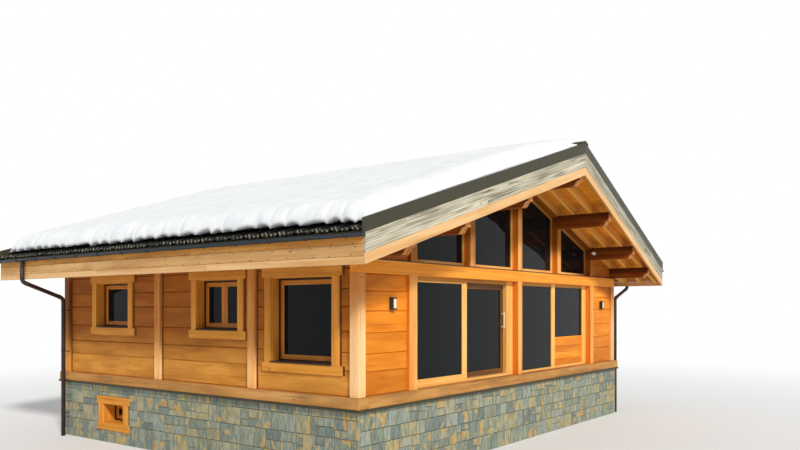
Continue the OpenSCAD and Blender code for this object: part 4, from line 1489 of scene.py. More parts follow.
@dataclass
class LogWalls:
    """Squared logs between the posts, a groove at each joint."""

    joints: Tuple[float, ...] = (0.42, 0.74, 1.11, 1.50, 1.86, 2.20)
    side_joints: Tuple[float, ...] = (0.455, 0.77, 1.14, 1.58, 1.90, 2.26)
    course: float = 0.34
    gap: float = 0.003
    edge: float = 0.013
    shade_strip_w: float = 0.048

    def heights(self, low: float, high: float, joints: Sequence[float]) -> List[Span]:
        """Divide a height into courses at the joints.

        Args:
            low: Foot of the wall part.
            high: Its head.
            joints: Heights of the joints over the floor.

        Returns:
            The span of each course.
        """
        upper = [HOUSE.plate + i * self.course for i in range(1, 7)]
        cuts = [HOUSE.floor + j for j in joints] + upper
        inside = [c for c in cuts if low + 0.03 < c < high - 0.03]
        edges = [low] + inside + [high]
        return list(zip(edges[:-1], edges[1:]))

    def fill(
        self, stock: Stock, wall: Wall, ends: Span, heights: Span, windows: Sequence[Window] = (),
        tones: Span = (0.1, 0.9),
    ) -> None:
        """Fill a bay between two posts with logs.

        Args:
            stock: The piece that they go to.
            wall: The wall.
            ends: The faces of the posts.
            heights: Foot and head of the bay.
            windows: Openings that the logs stop at; a bay has one at most.
            tones: Tone of the lowest and of the highest logs; the change between them is painted
                shade.
        """
        out = (-HOUSE.post, -HOUSE.log_setback)
        holes = [w.hole for w in windows if ends[0] < w.hole[0][0] and w.hole[0][1] < ends[1]]
        joints = self.side_joints if wall in (Wall.LEFT, Wall.RIGHT) else self.joints
        courses = self.heights(*heights, joints)
        for i, (z0, z1) in enumerate(courses):
            share = i / max(1, len(courses) - 1)
            tone = tones[0] + (tones[1] - tones[0]) * share + stock.dice.uniform(-0.12, 0.12)
            log = (ends, (z0 + self.gap, z1 - self.gap))
            for ring in notched(log, holes[0]) if holes else [rectangle(*log)]:
                stock.lay(wall, ring, out, False, self.edge, min(1.0, max(0.0, tone)))

    def seal(self, stock: Stock, wall: Wall, at: float, up: Span, way: int) -> None:
        """Lay a dark strip between the logs and a post or casing: painted shade beside it.

        Args:
            stock: The piece that it goes to.
            wall: The wall.
            at: The edge that it follows, along the wall.
            up: Its foot and head.
            way: 1 if it lies beyond that edge, -1 if before it.
        """
        out = (-HOUSE.log_setback - 0.010, -HOUSE.log_setback + 0.002)
        stock.lay(wall, rectangle((at, at + way * self.shade_strip_w), up), out, True, 0.001)

    def fill_under_roof(self, stock: Stock, wall: Wall, ends: Span, drop: float) -> None:
        """Fill an upper bay of a gable with logs cut to the roof.

        Args:
            stock: The piece that they go to.
            wall: The gable wall.
            ends: The faces of the posts.
            drop: Height kept free under the purlin tops.
        """
        high = max(HOUSE.top(ends[0]), HOUSE.top(ends[1])) - drop
        slope = HOUSE.slope if ends[0] + ends[1] < 0 else -HOUSE.slope
        for z0, z1 in self.heights(HOUSE.plate, high, ()):
            ring = below(
                rectangle(ends, (z0 + self.gap, z1 - self.gap)), slope, HOUSE.ridge - drop - 0.001
            )
            if len(ring) > 2 and max(z for _, z in ring) - min(z for _, z in ring) > 0.03:
                stock.lay(wall, ring, (-HOUSE.post, -HOUSE.log_setback), False, self.edge)

    def build(self, windows: Sequence[Window]) -> None:
        """Build and dress the logs of all four walls.

        Args:
            windows: All windows of the house.
        """
        p, outer, floor = HOUSE.post, HOUSE.outer_post, HOUSE.floor
        ys = [-HOUSE.half_l + p / 2, -2.02, 0.98, HOUSE.half_l - p / 2]
        # Painted shade: dark strips beside the posts and casings
        shade_strips = Stock("log_wall_sealing_strips")
        for wall in (Wall.LEFT, Wall.RIGHT):
            stock = Stock(f"{wall.value}_wall_log_courses")
            near = [w for w in windows if w.wall is wall and w.foot > HOUSE.sill]
            for window in near:
                (a0, a1), (low, high) = window.hole
                (b0, b1), (y0, y1) = window.trim
                w = window.casing_w
                edges = ((a0 - w, a1 + w, low, high), (b0, b1, y0, low), (b0, b1, high, y1))
                for left, right, foot, head in edges:
                    self.seal(shade_strips, wall, left, (foot, head), -1)
                    self.seal(shade_strips, wall, right, (foot, head), 1)
            for y0, y1 in zip(ys[:-1], ys[1:]):
                bay, up = (y0 + p / 2, y1 - p / 2), (floor, HOUSE.plate)
                self.seal(shade_strips, wall, bay[0], up, 1)
                self.seal(shade_strips, wall, bay[1], up, -1)
                # Painted shade: the logs of the eave walls darken towards the eaves
                self.fill(stock, wall, bay, up, near, (0.7, 0.4))
            stock.build(WALL_LARCH, "shaded_larch", [f"{wall.value}_wall_logs"])
        shade_strips.build(SHADE_STRIP, "frame_wood")
        front = Stock("front_wall_log_courses")
        back = Stock("back_wall_log_courses")
        inner, up = HOUSE.half_w - p, (floor, HOUSE.lintel)
        # Painted shade: the gable logs are darker low down, by the default tones of fill
        self.fill(front, Wall.FRONT, (-inner, p / 2 - outer - 0.25), up)
        self.fill(front, Wall.FRONT, (outer + p / 2, inner), up)
        posts = [p / 2 - HOUSE.half_w, -outer, -outer / 3, outer / 3, outer, HOUSE.half_w - p / 2]
        near = [w for w in windows if w.wall is Wall.BACK]
        for x0, x1 in zip(posts[:-1], posts[1:]):
            self.fill(back, Wall.BACK, (x0 + p / 2, x1 - p / 2), up, near)
        for side in (-1, 1):
            bay = tuple(sorted((side * inner, side * (outer + p / 2))))
            self.fill_under_roof(front, Wall.FRONT, bay, 0.0)
            self.fill_under_roof(back, Wall.BACK, bay, 0.0)
            for x0, x1 in ((0.0, outer / 2), (outer / 2, outer)):
                bay = tuple(sorted((side * (x0 + p / 2), side * (x1 - p / 2))))
                self.fill_under_roof(back, Wall.BACK, bay, 0.0405)
        front.build(GABLE_LARCH, "honey_larch", ["front_wall_logs"])
        back.build(GABLE_LARCH, "honey_larch", ["back_wall_logs"])


@dataclass
class Interior:
    """What shows through the glass: lining boards and the living floor."""

    def build(self) -> None:
        """Dress the inner faces."""
        for wall in ("left", "right"):
            dress_node(f"{wall}_wall_lining", LINING_SPRUCE, Grain.ALONG_Y)
        for wall in ("front", "back"):
            dress_node(f"{wall}_wall_lining", LINING_SPRUCE, Grain.ALONG_X)
        dress_node("ground_floor", FLOOR_OAK, Grain.ALONG_X)


@dataclass
class SlidingDoor:
    """The two-leaf door: a fixed glazed leaf, and one that slides behind it."""

    left: float = -4.115
    right: float = -0.100
    wide_jamb: float = 0.290
    left_jamb: float = 0.060
    meeting: float = -2.290
    lap: float = 0.180
    stile: float = 0.110
    rim: float = 0.030
    depth: Span = (-0.320, -0.150)
    fixed: Span = (-0.230, -0.150)
    sliding: Span = (-0.300, -0.240)
    grip_r: float = 0.014

    def board(self, stock: Stock, across: Span, up: Span, out: Span, upright: bool) -> None:
        """Lay one board of the door."""
        stock.lay(Wall.FRONT, rectangle(across, up), out, upright, 0.004)

    def build(self) -> None:
        """Build and dress the frame, both leaves, the handle and the track."""
        outer = Stock("door_frame_timbers")
        heads = Stock("door_head_boards")
        full = (HOUSE.floor, HOUSE.lintel)
        inside = (self.left + self.left_jamb, self.right - self.wide_jamb)
        # The wide jamb is two boards with a sunk joint between them
        joint = inside[1] + self.wide_jamb * 0.46
        gap = (joint - 0.006, joint + 0.006)
        for across in ((self.left, inside[0]), (inside[1], gap[0]), (gap[1], self.right)):
            self.board(outer, across, full, self.depth, True)
        self.board(outer, gap, full, (self.depth[0], self.depth[1] - 0.020), True)
        self.board(heads, inside, (HOUSE.door_head, HOUSE.lintel), self.depth, False)
        self.board(outer, inside, (HOUSE.floor, HOUSE.door_foot), self.depth, False)
        outer.build(DOOR_LARCH, "pale_larch", ["door_frame"])
        heads.build(HEAD_LARCH, "pale_larch")
        self.fixed_leaf(inside[0])
        self.sliding_leaf(inside[1] - 0.010)
        self.handle()
        dress_node("door_track", TRACK_ALUMINIUM)
        dress_node("door_sliding_glass", DARK_GLASS)
        dress_node("front_glass", DARK_GLASS)

    def fixed_leaf(self, left: float) -> None:
        """Lay the stiles and rails of the fixed leaf.

        Args:
            left: Its left edge.
        """
        leaf = Stock("door_fixed_leaf_timbers")
        foot, head = HOUSE.door_foot, HOUSE.door_head
        inner = (left + self.rim, self.meeting)
        for across in ((left, inner[0]), (inner[1], inner[1] + self.lap)):
            self.board(leaf, across, (foot, head), self.fixed, True)
        for up in ((foot, foot + self.stile), (head - self.rim, head)):
            self.board(leaf, inner, up, self.fixed, False)
        leaf.build(DOOR_LARCH, "pale_larch", ["door_fixed_leaf"])

    def sliding_leaf(self, right: float) -> None:
        """Lay the stiles and rails of the sliding leaf.

        Args:
            right: Its right edge.
        """
        leaf = Stock("door_sliding_leaf_timbers")
        up = (HOUSE.door_foot + 0.010, HOUSE.door_head - 0.010)
        leaf.ring(Wall.FRONT, ((self.meeting, right), up), self.stile, self.sliding, 0.004)
        leaf.build(LEAF_LARCH, "honey_larch", ["door_sliding_leaf"], "door_leaf")

    def handle(self) -> None:
        """Make the bar handle: a grip with drawn-in tips, on two feet with roses."""
        stock = Stock("door_bar_handle")
        low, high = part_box("door_handle")
        x, y = (low.x + high.x) / 2, low.y + self.grip_r
        grip, thin = circle(self.grip_r, 20), circle(self.grip_r * 0.7, 20)
        rose = circle(self.grip_r * 1.4, 20)
        z0, z1 = low.z + 0.004, high.z - 0.004
        for outline, heights in ((grip, (z0, low.z + 0.03, high.z - 0.03, z1)),
                                 (thin, (low.z, z0)), (thin, (z1, high.z))):
            stock.tube([Vector((x, y, z)) for z in heights], outline, ALONG_Y, tone=0.5)
        middle = (low.z + high.z) / 2
        for z in (middle - 0.15, middle + 0.15):
            wall = Vector((x, high.y, z))
            stock.tube([wall, Vector((x, y, z))], thin, UP, tone=0.5)
            stock.tube([wall, Vector((x, high.y - 0.004, z))], rose, UP, tone=0.5)
        stock.build(HANDLE_ALUMINIUM, "handle_finish", ["door_handle"], "door_leaf")


@dataclass
class GableGlazing:
    """The glazed unit beside the door and the four windows under the roof."""

    left: float = 0.100
    right: float = 4.115
    jamb: float = 0.060
    right_jamb: float = 0.240
    mullion: Span = (1.960, 2.160)
    panel: Span = (1.610, 2.350)
    rail: float = 0.070
    rows: int = 4
    out: Span = (-0.230, -0.150)
    panel_back: float = -0.210

    def build(self) -> None:
        """Build and dress the fixed glazing of the gable."""
        unit = Stock("front_glazing_timbers")
        heads = Stock("front_glazing_head_boards")
        floor, lintel = HOUSE.floor, HOUSE.lintel
        pane_l, pane_r = self.left + self.jamb, self.right - self.right_jamb
        for across in ((self.left, pane_l), self.mullion, (pane_r, self.right)):
            unit.lay(Wall.FRONT, rectangle(across, (floor, lintel)), self.out, True)
        for across, foot in (((pane_l, self.mullion[0]), HOUSE.door_foot),
                             ((self.mullion[1], pane_r), self.panel[0])):
            heads.lay(Wall.FRONT, rectangle(across, (HOUSE.door_head, lintel)), self.out)
            unit.lay(Wall.FRONT, rectangle(across, (floor, foot)), self.out)
        unit.build(DOOR_LARCH, "pale_larch", ["front_glazed_frame"])
        heads.build(HEAD_LARCH, "pale_larch")
        self.board_panel((self.mullion[1], pane_r))
        recut("upper_window_timbers", "upper_window_frames", 0.006, DOOR_LARCH, "pale_larch")
        dress_node("upper_window_glass", DARK_GLASS)
        recut("gable_header_timbers", "gable_headers", 0.005, HEADER_LARCH, "honey_larch")

    def board_panel(self, across: Span) -> None:
        """Lay the boarded panel under the right pane, with a proud rail on top.

        Args:
            across: Its ends.
        """
        stock = Stock("front_panel_boards")
        foot, head = self.panel
        height = (head - self.rail - foot) / self.rows
        for i in range(self.rows):
            z0 = foot + i * height
            board = rectangle(across, (z0 + 0.001, z0 + height - 0.001))
            stock.lay(Wall.FRONT, board, (self.panel_back, -0.168))
        rail = rectangle(across, (head - self.rail, head))
        stock.lay(Wall.FRONT, rail, (self.panel_back, -0.160), False, 0.006)
        stock.build(GABLE_LARCH, "honey_larch", ["front_glazed_panel"])


@dataclass
class RoofTimbers:
    """Purlins with carved ends, rafters, eave blocking and the boarded soffit."""

    deck: Span = (0.2603, 0.2903)
    nose: float = 0.32
    board_w: float = 0.138
    gap: float = 0.003

    def build(self) -> None:
        """Build and dress the roof timbers."""
        beams = recut("carved_purlins", "purlins", 0.008, PURLIN_SPRUCE, "brown_beam")
        # The faces at the carved ends take the paler finish: painted light
        beams.data.materials.append(NOSE_SPRUCE.material())
        for face in beams.data.polygons:
            front = face.center.y - HOUSE.front(face.center.x) < self.nose
            back = HOUSE.back_verge - face.center.y < self.nose
            if abs(face.normal.x) < 0.5 and (front or back):
                face.material_index = 1
        recut("planed_rafters", "rafters", 0.006, RAFTER_SPRUCE, "shaded_larch")
        recut("eave_blocking_boards", "eave_blocking", 0.003, RAFTER_SPRUCE, "shaded_larch")
        self.soffit()
        dress_node("roof_insulation", WOOD_FIBRE)

    def soffit(self) -> None:
        """Lay the roof boards side by side, along the house."""
        stock = Stock("soffit_boards")
        end = HOUSE.half_roof - HOUSE.board
        count = int(end / self.board_w)
        step = end / count
        inset = HOUSE.board + 0.0003
        back = HOUSE.back_verge - inset
        for side in (-1, 1):
            for i in range(count):
                x0 = i * step + (0.0005 if i == 0 else self.gap / 2)
                x1 = (i + 1) * step - (0.0 if i == count - 1 else self.gap / 2)
                stock.hexa(
                    [(side * x, y, HOUSE.top(x, level)) for level in self.deck
                     for x in (x0, x1) for y in (HOUSE.front(x) + inset, back)],
                    0.003,
                )
        stock.build(SOFFIT_SPRUCE, "soffit_wood", ["roof_deck"])


@dataclass
class RoofEdges:
    """Verge boards in lengths, eave boards with nails, flashings and the ridge cap."""

    lower: Span = (-0.075, 0.100)
    weathered: Span = (0.1003, 0.415)
    flashing: Span = (0.4153, 0.6459)
    eave_rows: Tuple[float, ...] = (3.7697, 3.895, 4.083, 4.2706)
    nail_r: float = 0.010
    nail_step: float = 0.465
    nail_inset: Span = (0.022, 0.030)
    eave_run: Span = (3.2, 4.5)

    def strip(
        self, stock: Stock, side: int, back: bool, xs: Span, above: Span, thick: Span, edge: float,
        tone: Tone = None,
    ) -> None:
        """Set one length of board along a verge.

        Args:
            stock: The piece that it goes to.
            side: -1 for the left slope, 1 for the right.
            back: Whether it is on the back verge.
            xs: Its ends, as distances from the ridge.
            above: Its foot and head over the purlin tops.
            thick: Its inner and outer face, as distances from the verge inwards.
            edge: Width of its chamfers.
            tone: Its tone, or a random one.
        """
        corners = []
        for deep in thick:
            for level in above:
                for x in xs:
                    y = HOUSE.back_verge - deep if back else HOUSE.front(x) + deep
                    corners.append((side * x, y, HOUSE.top(x, level)))
        stock.hexa(corners, edge, tone)

    def lengths(self, stock: Stock, longest: float, end: float) -> List[Span]:
        """Divide a verge into board lengths with butt joints.

        Args:
            stock: The piece whose dice place the joints.
            longest: The longest board.
            end: The end of the verge.

        Returns:
            The ends of each board.
        """
        edges = [0.0003]
        while end - edges[-1] > longest:
            edges.append(edges[-1] + longest * stock.dice.uniform(0.7, 1.0))
        edges.append(end)
        return [(a + (0.0015 if a > 0.01 else 0.0), b - (0.0015 if b < end else 0.0))
                for a, b in zip(edges[:-1], edges[1:])]

    def build(self) -> None:
        """Build and dress the edges of the roof."""
        lower = Stock("verge_boards_new")
        old = Stock("verge_boards_bleached")
        metal = Stock("verge_flashing_sheets")
        middle = sum(self.weathered) / 2
        rows = ((self.weathered[0], middle - 0.0015), (middle + 0.0015, self.weathered[1]))
        for side in (-1, 1):
            for back in (False, True):
                for xs in self.lengths(lower, 5.0, HOUSE.half_roof):
                    self.strip(lower, side, back, xs, self.lower, (0.0, HOUSE.board), 0.004)
                for row in rows:
                    for xs in self.lengths(old, 3.8, HOUSE.half_roof):
                        thick = (old.dice.uniform(0.0, 0.004), HOUSE.board)
                        # Painted shade: the bleached boards on the right slope are darker
                        tone = old.dice.uniform(0.35, 0.65) - (0.3 if side > 0 else 0.0)
                        self.strip(old, side, back, xs, row, thick, 0.004, tone)
                for xs in self.lengths(metal, 2.0, HOUSE.half_roof + 0.04):
                    self.strip(metal, side, back, xs, self.flashing, (0.0, HOUSE.board), 0.003)
        lower.build(VERGE_LARCH, "pale_larch", ["verge_boards_lower"])
        old.build(GREY_LARCH, "weathered_wood", ["verge_boards_weathered"])
        metal.build(FLASHING_SHEET, "dark_metal", ["verge_flashings"])
        recut("ridge_cap_sheets", "ridge_cap", 0.006, FLASHING_SHEET, "dark_metal")
        self.eaves()

    def eaves(self) -> None:
        """Lay three rows of boards along each eave and drive their nails."""
        rows = (Stock("eave_boards_foot"), Stock("eave_boards_middle"), Stock("eave_boards_head"))
        nails = Stock("eave_board_nails")
        drip = Stock("eave_drip_sheets")
        y0, y1 = -HOUSE.prow_eave + HOUSE.board, HOUSE.back_verge - HOUSE.board
        out, head = HOUSE.half_roof, self.eave_rows[3]
        for side in (-1, 1):
            heights = zip(self.eave_rows[:-1], self.eave_rows[1:])
            for stock, (z0, z1) in zip(rows, heights):
                edges = [y0]
                while y1 - edges[-1] > self.eave_run[1] + 0.1:
                    edges.append(edges[-1] + stock.dice.uniform(*self.eave_run))
                edges.append(y1)
                for a, b in zip(edges[:-1], edges[1:]):
                    stock.block(
                        (side * (out - HOUSE.board), a + 0.001, z0 + 0.002),
                        (side * out, b - 0.001, z1 - 0.002), Axis.Y,
                    )
                if stock is not rows[0]:
                    self.nail_row(nails, side, (y0, y1), z0 + self.nail_inset[0])
                    self.nail_row(nails, side, (y0, y1), z1 - self.nail_inset[1])
            drip.block(
                (side * (out + 0.0005), y0, head - 0.035), (side * (out + 0.0025), y1, head),
                Axis.Y, 0.0,
            )
        rows[0].build(VERGE_LARCH, "pale_larch")
        rows[1].build(EAVE_LARCH, "pale_larch", ["eave_fascias"])
        rows[2].build(LIT_GUTTER_LARCH, "pale_larch")
        nails.build(SILL_SHEET, "dark_metal")
        drip.build(GUTTER_SHEET, "dark_metal")

    def nail_row(self, stock: Stock, side: int, ends: Span, z: float) -> None:
        """Drive a row of round nails, one for each rafter end.

        Args:
            stock: The piece that they go to.
            side: -1 for the left eave, 1 for the right.
            ends: The ends of the row.
            z: Its height.
        """
        # Real heads are 9 mm wide; they are drawn 20 mm wide so that they show
        head = circle(self.nail_r, 8)
        dice = stock.dice
        y = ends[0] + 0.20
        while y < ends[1] - 0.1:
            spot = Vector((side * HOUSE.half_roof, y + dice.uniform(-0.09, 0.09),
                           z + dice.uniform(-0.01, 0.01)))
            path = [spot - side * 0.004 * ALONG_X, spot + side * 0.002 * ALONG_X]
            stock.tube(path, head, UP, False)
            y += self.nail_step


@dataclass
class TileRoof:
    """Interlocking clay tiles in courses; those under the snow are there as well."""

    head: float = 0.5259
    edge_x: float = 6.99
    exposure: float = 0.34
    width: float = 0.40
    samples: int = 10
    lift: float = 0.022
    roll: float = 0.034

    def profile(self, share: float) -> float:
        """Height of a tile over its pan at a share of its width.

        Args:
            share: 0 to 1 across the tile.

        Returns:
            The height, with one full roll and one low one.
        """
        full = max(0.0, math.cos((share - 0.12) * math.tau * 1.9)) if share < 0.26 else 0.0
        low = max(0.0, math.cos((share - 0.62) * math.tau * 2.2)) if 0.50 < share < 0.74 else 0.0
        return self.roll * (full ** 0.8) + self.roll * 0.45 * low

    def build(self) -> None:
        """Lay the courses of both slopes."""
        stock = Stock("roof_tile_courses")
        for side in (-1, 1):
            head = self.edge_x
            while head > 0.02:
                start = max(0.0005, head - self.exposure - 0.05)
                self.course(stock, side, start, head)
                head -= self.exposure
        stock.build(DARK_TILE, "dark_tiles", ["roof_tiles"])

    def course(self, stock: Stock, side: int, x0: float, x1: float) -> None:
        """Lay one course as a closed wavy slab.

        Args:
            stock: The piece that it goes to.
            side: -1 for the left slope, 1 for the right.
            x0: Its upper edge, as a distance from the ridge.
            x1: Its lower edge.
        """
        inset = HOUSE.board + 0.001
        front = HOUSE.front(x1) + inset
        back = HOUSE.back_verge - inset
        count = int((back - front) / self.width * self.samples)
        low = self.head - self.roll - 0.001
        points: List[Vector] = []
        for i in range(count + 1):
            y = front + (back - front) * i / count
            wave = self.profile(((y - 100.0) / self.width) % 1.0)
            upper = min(low - self.lift + wave, self.head)
            y_up = max(y, HOUSE.front(x0) + inset)
            for x, here, level in ((x1, y, low + wave - 0.026), (x1, y, low + wave),
                                   (x0, y_up, upper), (x0, y_up, upper - 0.018)):
                points.append(Vector((side * x, here, HOUSE.top(x, level))))
        end = tuple(4 * count + j for j in (3, 2, 1, 0))
        faces = [(0, 1, 2, 3), *skin(4, count + 1), end]
        stock.solid(points, faces, Vector((1, 0, -side * HOUSE.slope)))


@dataclass
class SnowBlanket:
    """Settled snow: one blanket with a round nose at each eave and a lip over its foot."""

    bed: float = 0.5264
    ridge_t: float = 0.312
    slope_t: float = 0.378
    crest_x: float = 1.50
    foot_x: float = 6.45
    lip_x: float = 6.79
    lip_rise: float = 0.085
    arch_w: float = 0.40
    nose: float = 0.28
    side: float = 0.065
    thin: float = 0.34
    front_run: float = 0.80
    back_run: float = 0.30
    cap_half: float = 0.165
    cap_level: float = 0.660
    cap_shown: float = 0.27
    rows: int = 560
    across: int = 44

    def wander(self, y: float, seed: float) -> float:
        """Move the lip in and out in slow waves, hand-sized lumps and small tongues.

        Args:
            y: Place along the house.
            seed: What tells one eave's waves from the other's.

        Returns:
            The way out in metres.
        """
        return sum(
            size * noise.noise(Vector((y * rate, seed, layer)))
            for size, rate, layer in ((0.045, 0.5, 0.0), (0.045, 2.3, 3.0), (0.016, 6.5, 6.0))
        )

    def half(self, side: int, spot: float, share: float) -> Outline:
        """Give half a section, from the foot under the lip to the ridge.

        Args:
            side: -1 for the left slope, 1 for the right.
            spot: Place along the house, for the lumps.
            share: The part of the full depth at this place.

        Returns:
            Points as (distance from the ridge, height over the tiles).
        """
        seed = 9.0 + 7.0 * side
        lip_x = min(6.848, self.lip_x + self.wander(spot, seed))
        foot_x = self.foot_x + 0.6 * self.wander(spot, seed + 2.0)
        # The lip is arched over each tile and hangs down between
        rise = noise.noise(Vector((spot * 1.3, seed, 12.0)))
        arch = abs(math.sin(math.pi * (spot / self.arch_w + 0.5 * rise)))
        lip = self.lip_rise * (0.35 + 1.1 * arch ** 0.6 * (0.75 + 0.5 * rise)) * share
        top = self.slope_t * share
        points = [(foot_x, 0.0), (foot_x + (lip_x - foot_x) * 0.6, lip * 0.45), (lip_x, lip)]
        for i in range(1, 9):
            turn = math.pi / 2 * i / 8
            points.append((lip_x - self.nose * (1 - math.cos(turn)),
                           lip + (top - lip) * math.sin(turn)))
        start = points[-1][0]
        for i in range(1, self.across + 1):
            x = start * (1.0 - i / self.across)
            near = max(0.0, 1.0 - x / self.crest_x)
            points.append((x, top - (self.slope_t - self.ridge_t) * share * near ** 2))
        return points

    def lift(self, x: float, y: float, share: float) -> float:
        """Give how far wind and thaw move the upper face at a place.

        Args:
            x: Place across the house.
            y: Place along it.
            share: The part of the full depth at this place.

        Returns:
            The way up in metres.
        """
        eave = min(1.0, max(0.0, abs(x) - 5.6))
        return share * sum(
            (size + more * eave) * noise.noise(Vector((x * rate, y * rate, layer)))
            for size, more, rate, layer in ((0.018, 0.0, 0.55, 20.0), (0.010, 0.028, 1.7, 30.0),
                                            (0.003, 0.010, 5.0, 40.0))
        )

    def section(self, v: float) -> List[Vector]:
        """Give one section through the blanket, across the house.

        Args:
            v: Its place, from 0 at the front verge to 1 at the back one.

        Returns:
            Its points, from the left foot over the ridge to the right foot, and one
            under the ridge.
        """
        length = HOUSE.back_verge + HOUSE.prow_eave - 2 * self.side
        along = length * (1.0 - math.cos(v * math.pi)) / 2
        near = min(along / self.front_run, (length - along) / self.back_run, 1.0)
        share = 1.0 - (1.0 - self.thin) * (1.0 - near) ** 2.7
        spot = along - HOUSE.prow_eave
        ring: List[Vector] = []
        for side in (-1, 1):
            row = []
            for x, height in self.half(side, spot, share):
                y0 = HOUSE.front(x) + self.side
                y1 = HOUSE.back_verge - self.side
                y = y0 + (y1 - y0) * along / length
                edge = max(0.0, 1.0 - along / 0.3)
                y += 0.035 * edge * (1.0 + noise.noise(Vector((x * 3.0, side, 50.0))))
                z = HOUSE.top(x, self.bed + height)
                if height > 0.0:
                    z += self.lift(side * x, y, share)
                if x < self.cap_half:
                    past = y - HOUSE.front(0.0) - self.cap_shown
                    level = HOUSE.top(x, self.cap_level)
                    z = min(z, level) if past < 0.0 else max(z, level + 0.05 + min(0.1, past))
                row.append(Vector((side * x, y, z)))
            ring += row if side < 0 else row[-2::-1]
        middle = ring[len(ring) // 2]
        return ring + [Vector((0.0, middle.y, HOUSE.top(0.0, self.bed)))]

    def build(self) -> None:
        """Sculpt the blanket over both slopes as one closed mesh."""
        stock = Stock("roof_snow_blanket")
        sections = [self.section(i / self.rows) for i in range(self.rows + 1)]
        points = [point for section in sections for point in section]
        ring = len(sections[0])
        faces = skin(ring, len(sections))
        middle = (ring - 1) // 2
        for base in (0, self.rows * ring):
            faces.append(tuple(base + j for j in (*range(middle + 1), ring - 1)))
            faces.append(tuple(base + j for j in range(middle, ring)))
        stock.solid(points, faces, ALONG_Y, 0.5, True)
        stock.build(ROOF_SNOW, "snow", ["roof_snow"])


@dataclass
class RainGoods:
    """Half-round gutters on brackets, and downpipes with sockets and clips."""

    rim: float = 4.2406
    depth: float = 0.055
    width: float = 0.110
    sheet: float = 0.004
    bead_r: float = 0.006
    strap: Span = (0.024, 0.002)
    strap_step: float = 0.85
    pipe_r: float = 0.050
    wall_x: float = 6.010
    bend_z: float = 3.7117
    clips: Tuple[float, ...] = (0.55, 2.05, 3.05)

    def half_round(self, radius: float, rise: float) -> Outline:
        """Give the lower half of a circle, with its ends raised to the rims."""
        return [(-radius, rise), *circle(radius, 32)[16:], (radius, 0.0), (radius, rise)]

    def build(self) -> None:
        """Build and dress gutters and downpipes."""
        stock = Stock("half_round_gutters")
        centre = HOUSE.half_roof + self.width / 2
        radius = self.width / 2 - 0.002
        z = self.rim - self.depth + radius + 0.002
        outer = self.half_round(radius, self.rim - z)
        inner = self.half_round(radius - self.sheet, self.rim - z)
        y0, y1 = -HOUSE.half_l - 1.08, HOUSE.back_verge
        bead = circle(self.bead_r, 10)
        for side in (-1, 1):
            for outline, ends, smooth in ((outer + inner[::-1], (y0, (y0 + y1) / 2, y1), True),
                                          (outer, (y0, y0 + self.sheet), False),
                                          (outer, (y1 - self.sheet, y1), False)):
                path = [Vector((side * centre, y, z)) for y in ends]
                stock.tube(path, outline, UP, smooth, 0.5)
            x = side * (centre + radius - 0.005)
            rim = [Vector((x, y, self.rim - self.bead_r)) for y in (y0, y1)]
            stock.tube(rim, bead, UP, True, 0.5)
            y = y0 + 0.35
            while y < y1:
                self.bracket(stock, outer, Vector((side * centre, y, z)))
                y += self.strap_step
        stock.build(GUTTER_SHEET, "gutter_metal", ["gutters"])
        self.pipes(z - radius)

    def bracket(self, stock: Stock, trough: Outline, centre: Vector) -> None:
        """Bend one flat bracket round a gutter, in short straight lengths.

        Args:
            stock: The piece that it goes to.
            trough: The outer face of the gutter, from its centre.
            centre: The centre of the gutter's arc where the bracket sits.
        """
        wide, thick = self.strap
        strap = rectangle((-wide / 2, wide / 2), (-thick / 2, thick / 2))
        # The strap stands clear of the sides and keeps within the foot of the gutter
        around = [centre + Vector((a * 1.03 * 0.99, 0.0, b * 0.99)) for a, b in trough[::2]]
        for start, end in zip(around[:-1], around[1:]):
            if (end - start).length > 0.001:
                stock.tube([start, end], strap, ALONG_Y, False, 0.5)

    def bent(self, points: Sequence[Vector], radius: float) -> List[Vector]:
        """Round the corners of a path.

        Args:
            points: The corners of the path.
            radius: Distance from each corner at which its bend starts.

        Returns:
            The path with five points in each bend.
        """
        path = [points[0]]
        for before, corner, after in zip(points[:-2], points[1:-1], points[2:]):
            start = corner + (before - corner).normalized() * radius
            end = corner + (after - corner).normalized() * radius
            for i in range(6):
                t = i / 5
                path.append(start * (1 - t) ** 2 + corner * 2 * t * (1 - t) + end * t * t)
        path.append(points[-1])
        return path

    def pipes(self, top: float) -> None:
        """Run the downpipes from the gutters to the ground.

        Args:
            top: Height of the gutter's underside.
        """
        stock = Stock("bent_downpipes")
        x0 = HOUSE.half_roof + self.width / 2
        bend, foot = HOUSE.half_l - 0.23, 0.03 - HOUSE.half_l
        for side, y, slant in ((-1, bend, 0.375), (1, foot, 0.320)):
            corners = [
                Vector((side * x, y, z))
                for x, z in ((x0, top), (x0, self.bend_z),
                             (self.wall_x, self.bend_z - slant), (self.wall_x, 0.0))
            ]

            def sleeve(path: Sequence[Vector], grow: float) -> None:
                """Draw a length of pipe that is wider than the nominal one by twice grow."""
                stock.tube(path, circle(self.pipe_r + grow, 24), ALONG_Y, True, 0.5)

            sleeve(self.bent(corners, 0.09), -0.002)
            way = (corners[2] - corners[1]).normalized() * 0.025
            for share in (0.11, 0.89):
                spot = corners[1].lerp(corners[2], share)
                sleeve([spot - way, spot + way], 0.003)
            for z in self.clips:
                spot = corners[3] + z * UP
                sleeve([spot - 0.014 * UP, spot + 0.014 * UP], 0.004)
                wall = HOUSE.half_w + (0.0 if z > HOUSE.sill else 0.02)
                stock.block(
                    (side * wall, y - 0.010, z - 0.010),
                    (side * (self.wall_x - self.pipe_r + 0.004), y + 0.010, z + 0.010),
                    Axis.X, 0.002, 0.5,
                )
        stock.build(PIPE_SHEET, "brown_metal", ["downpipes"])


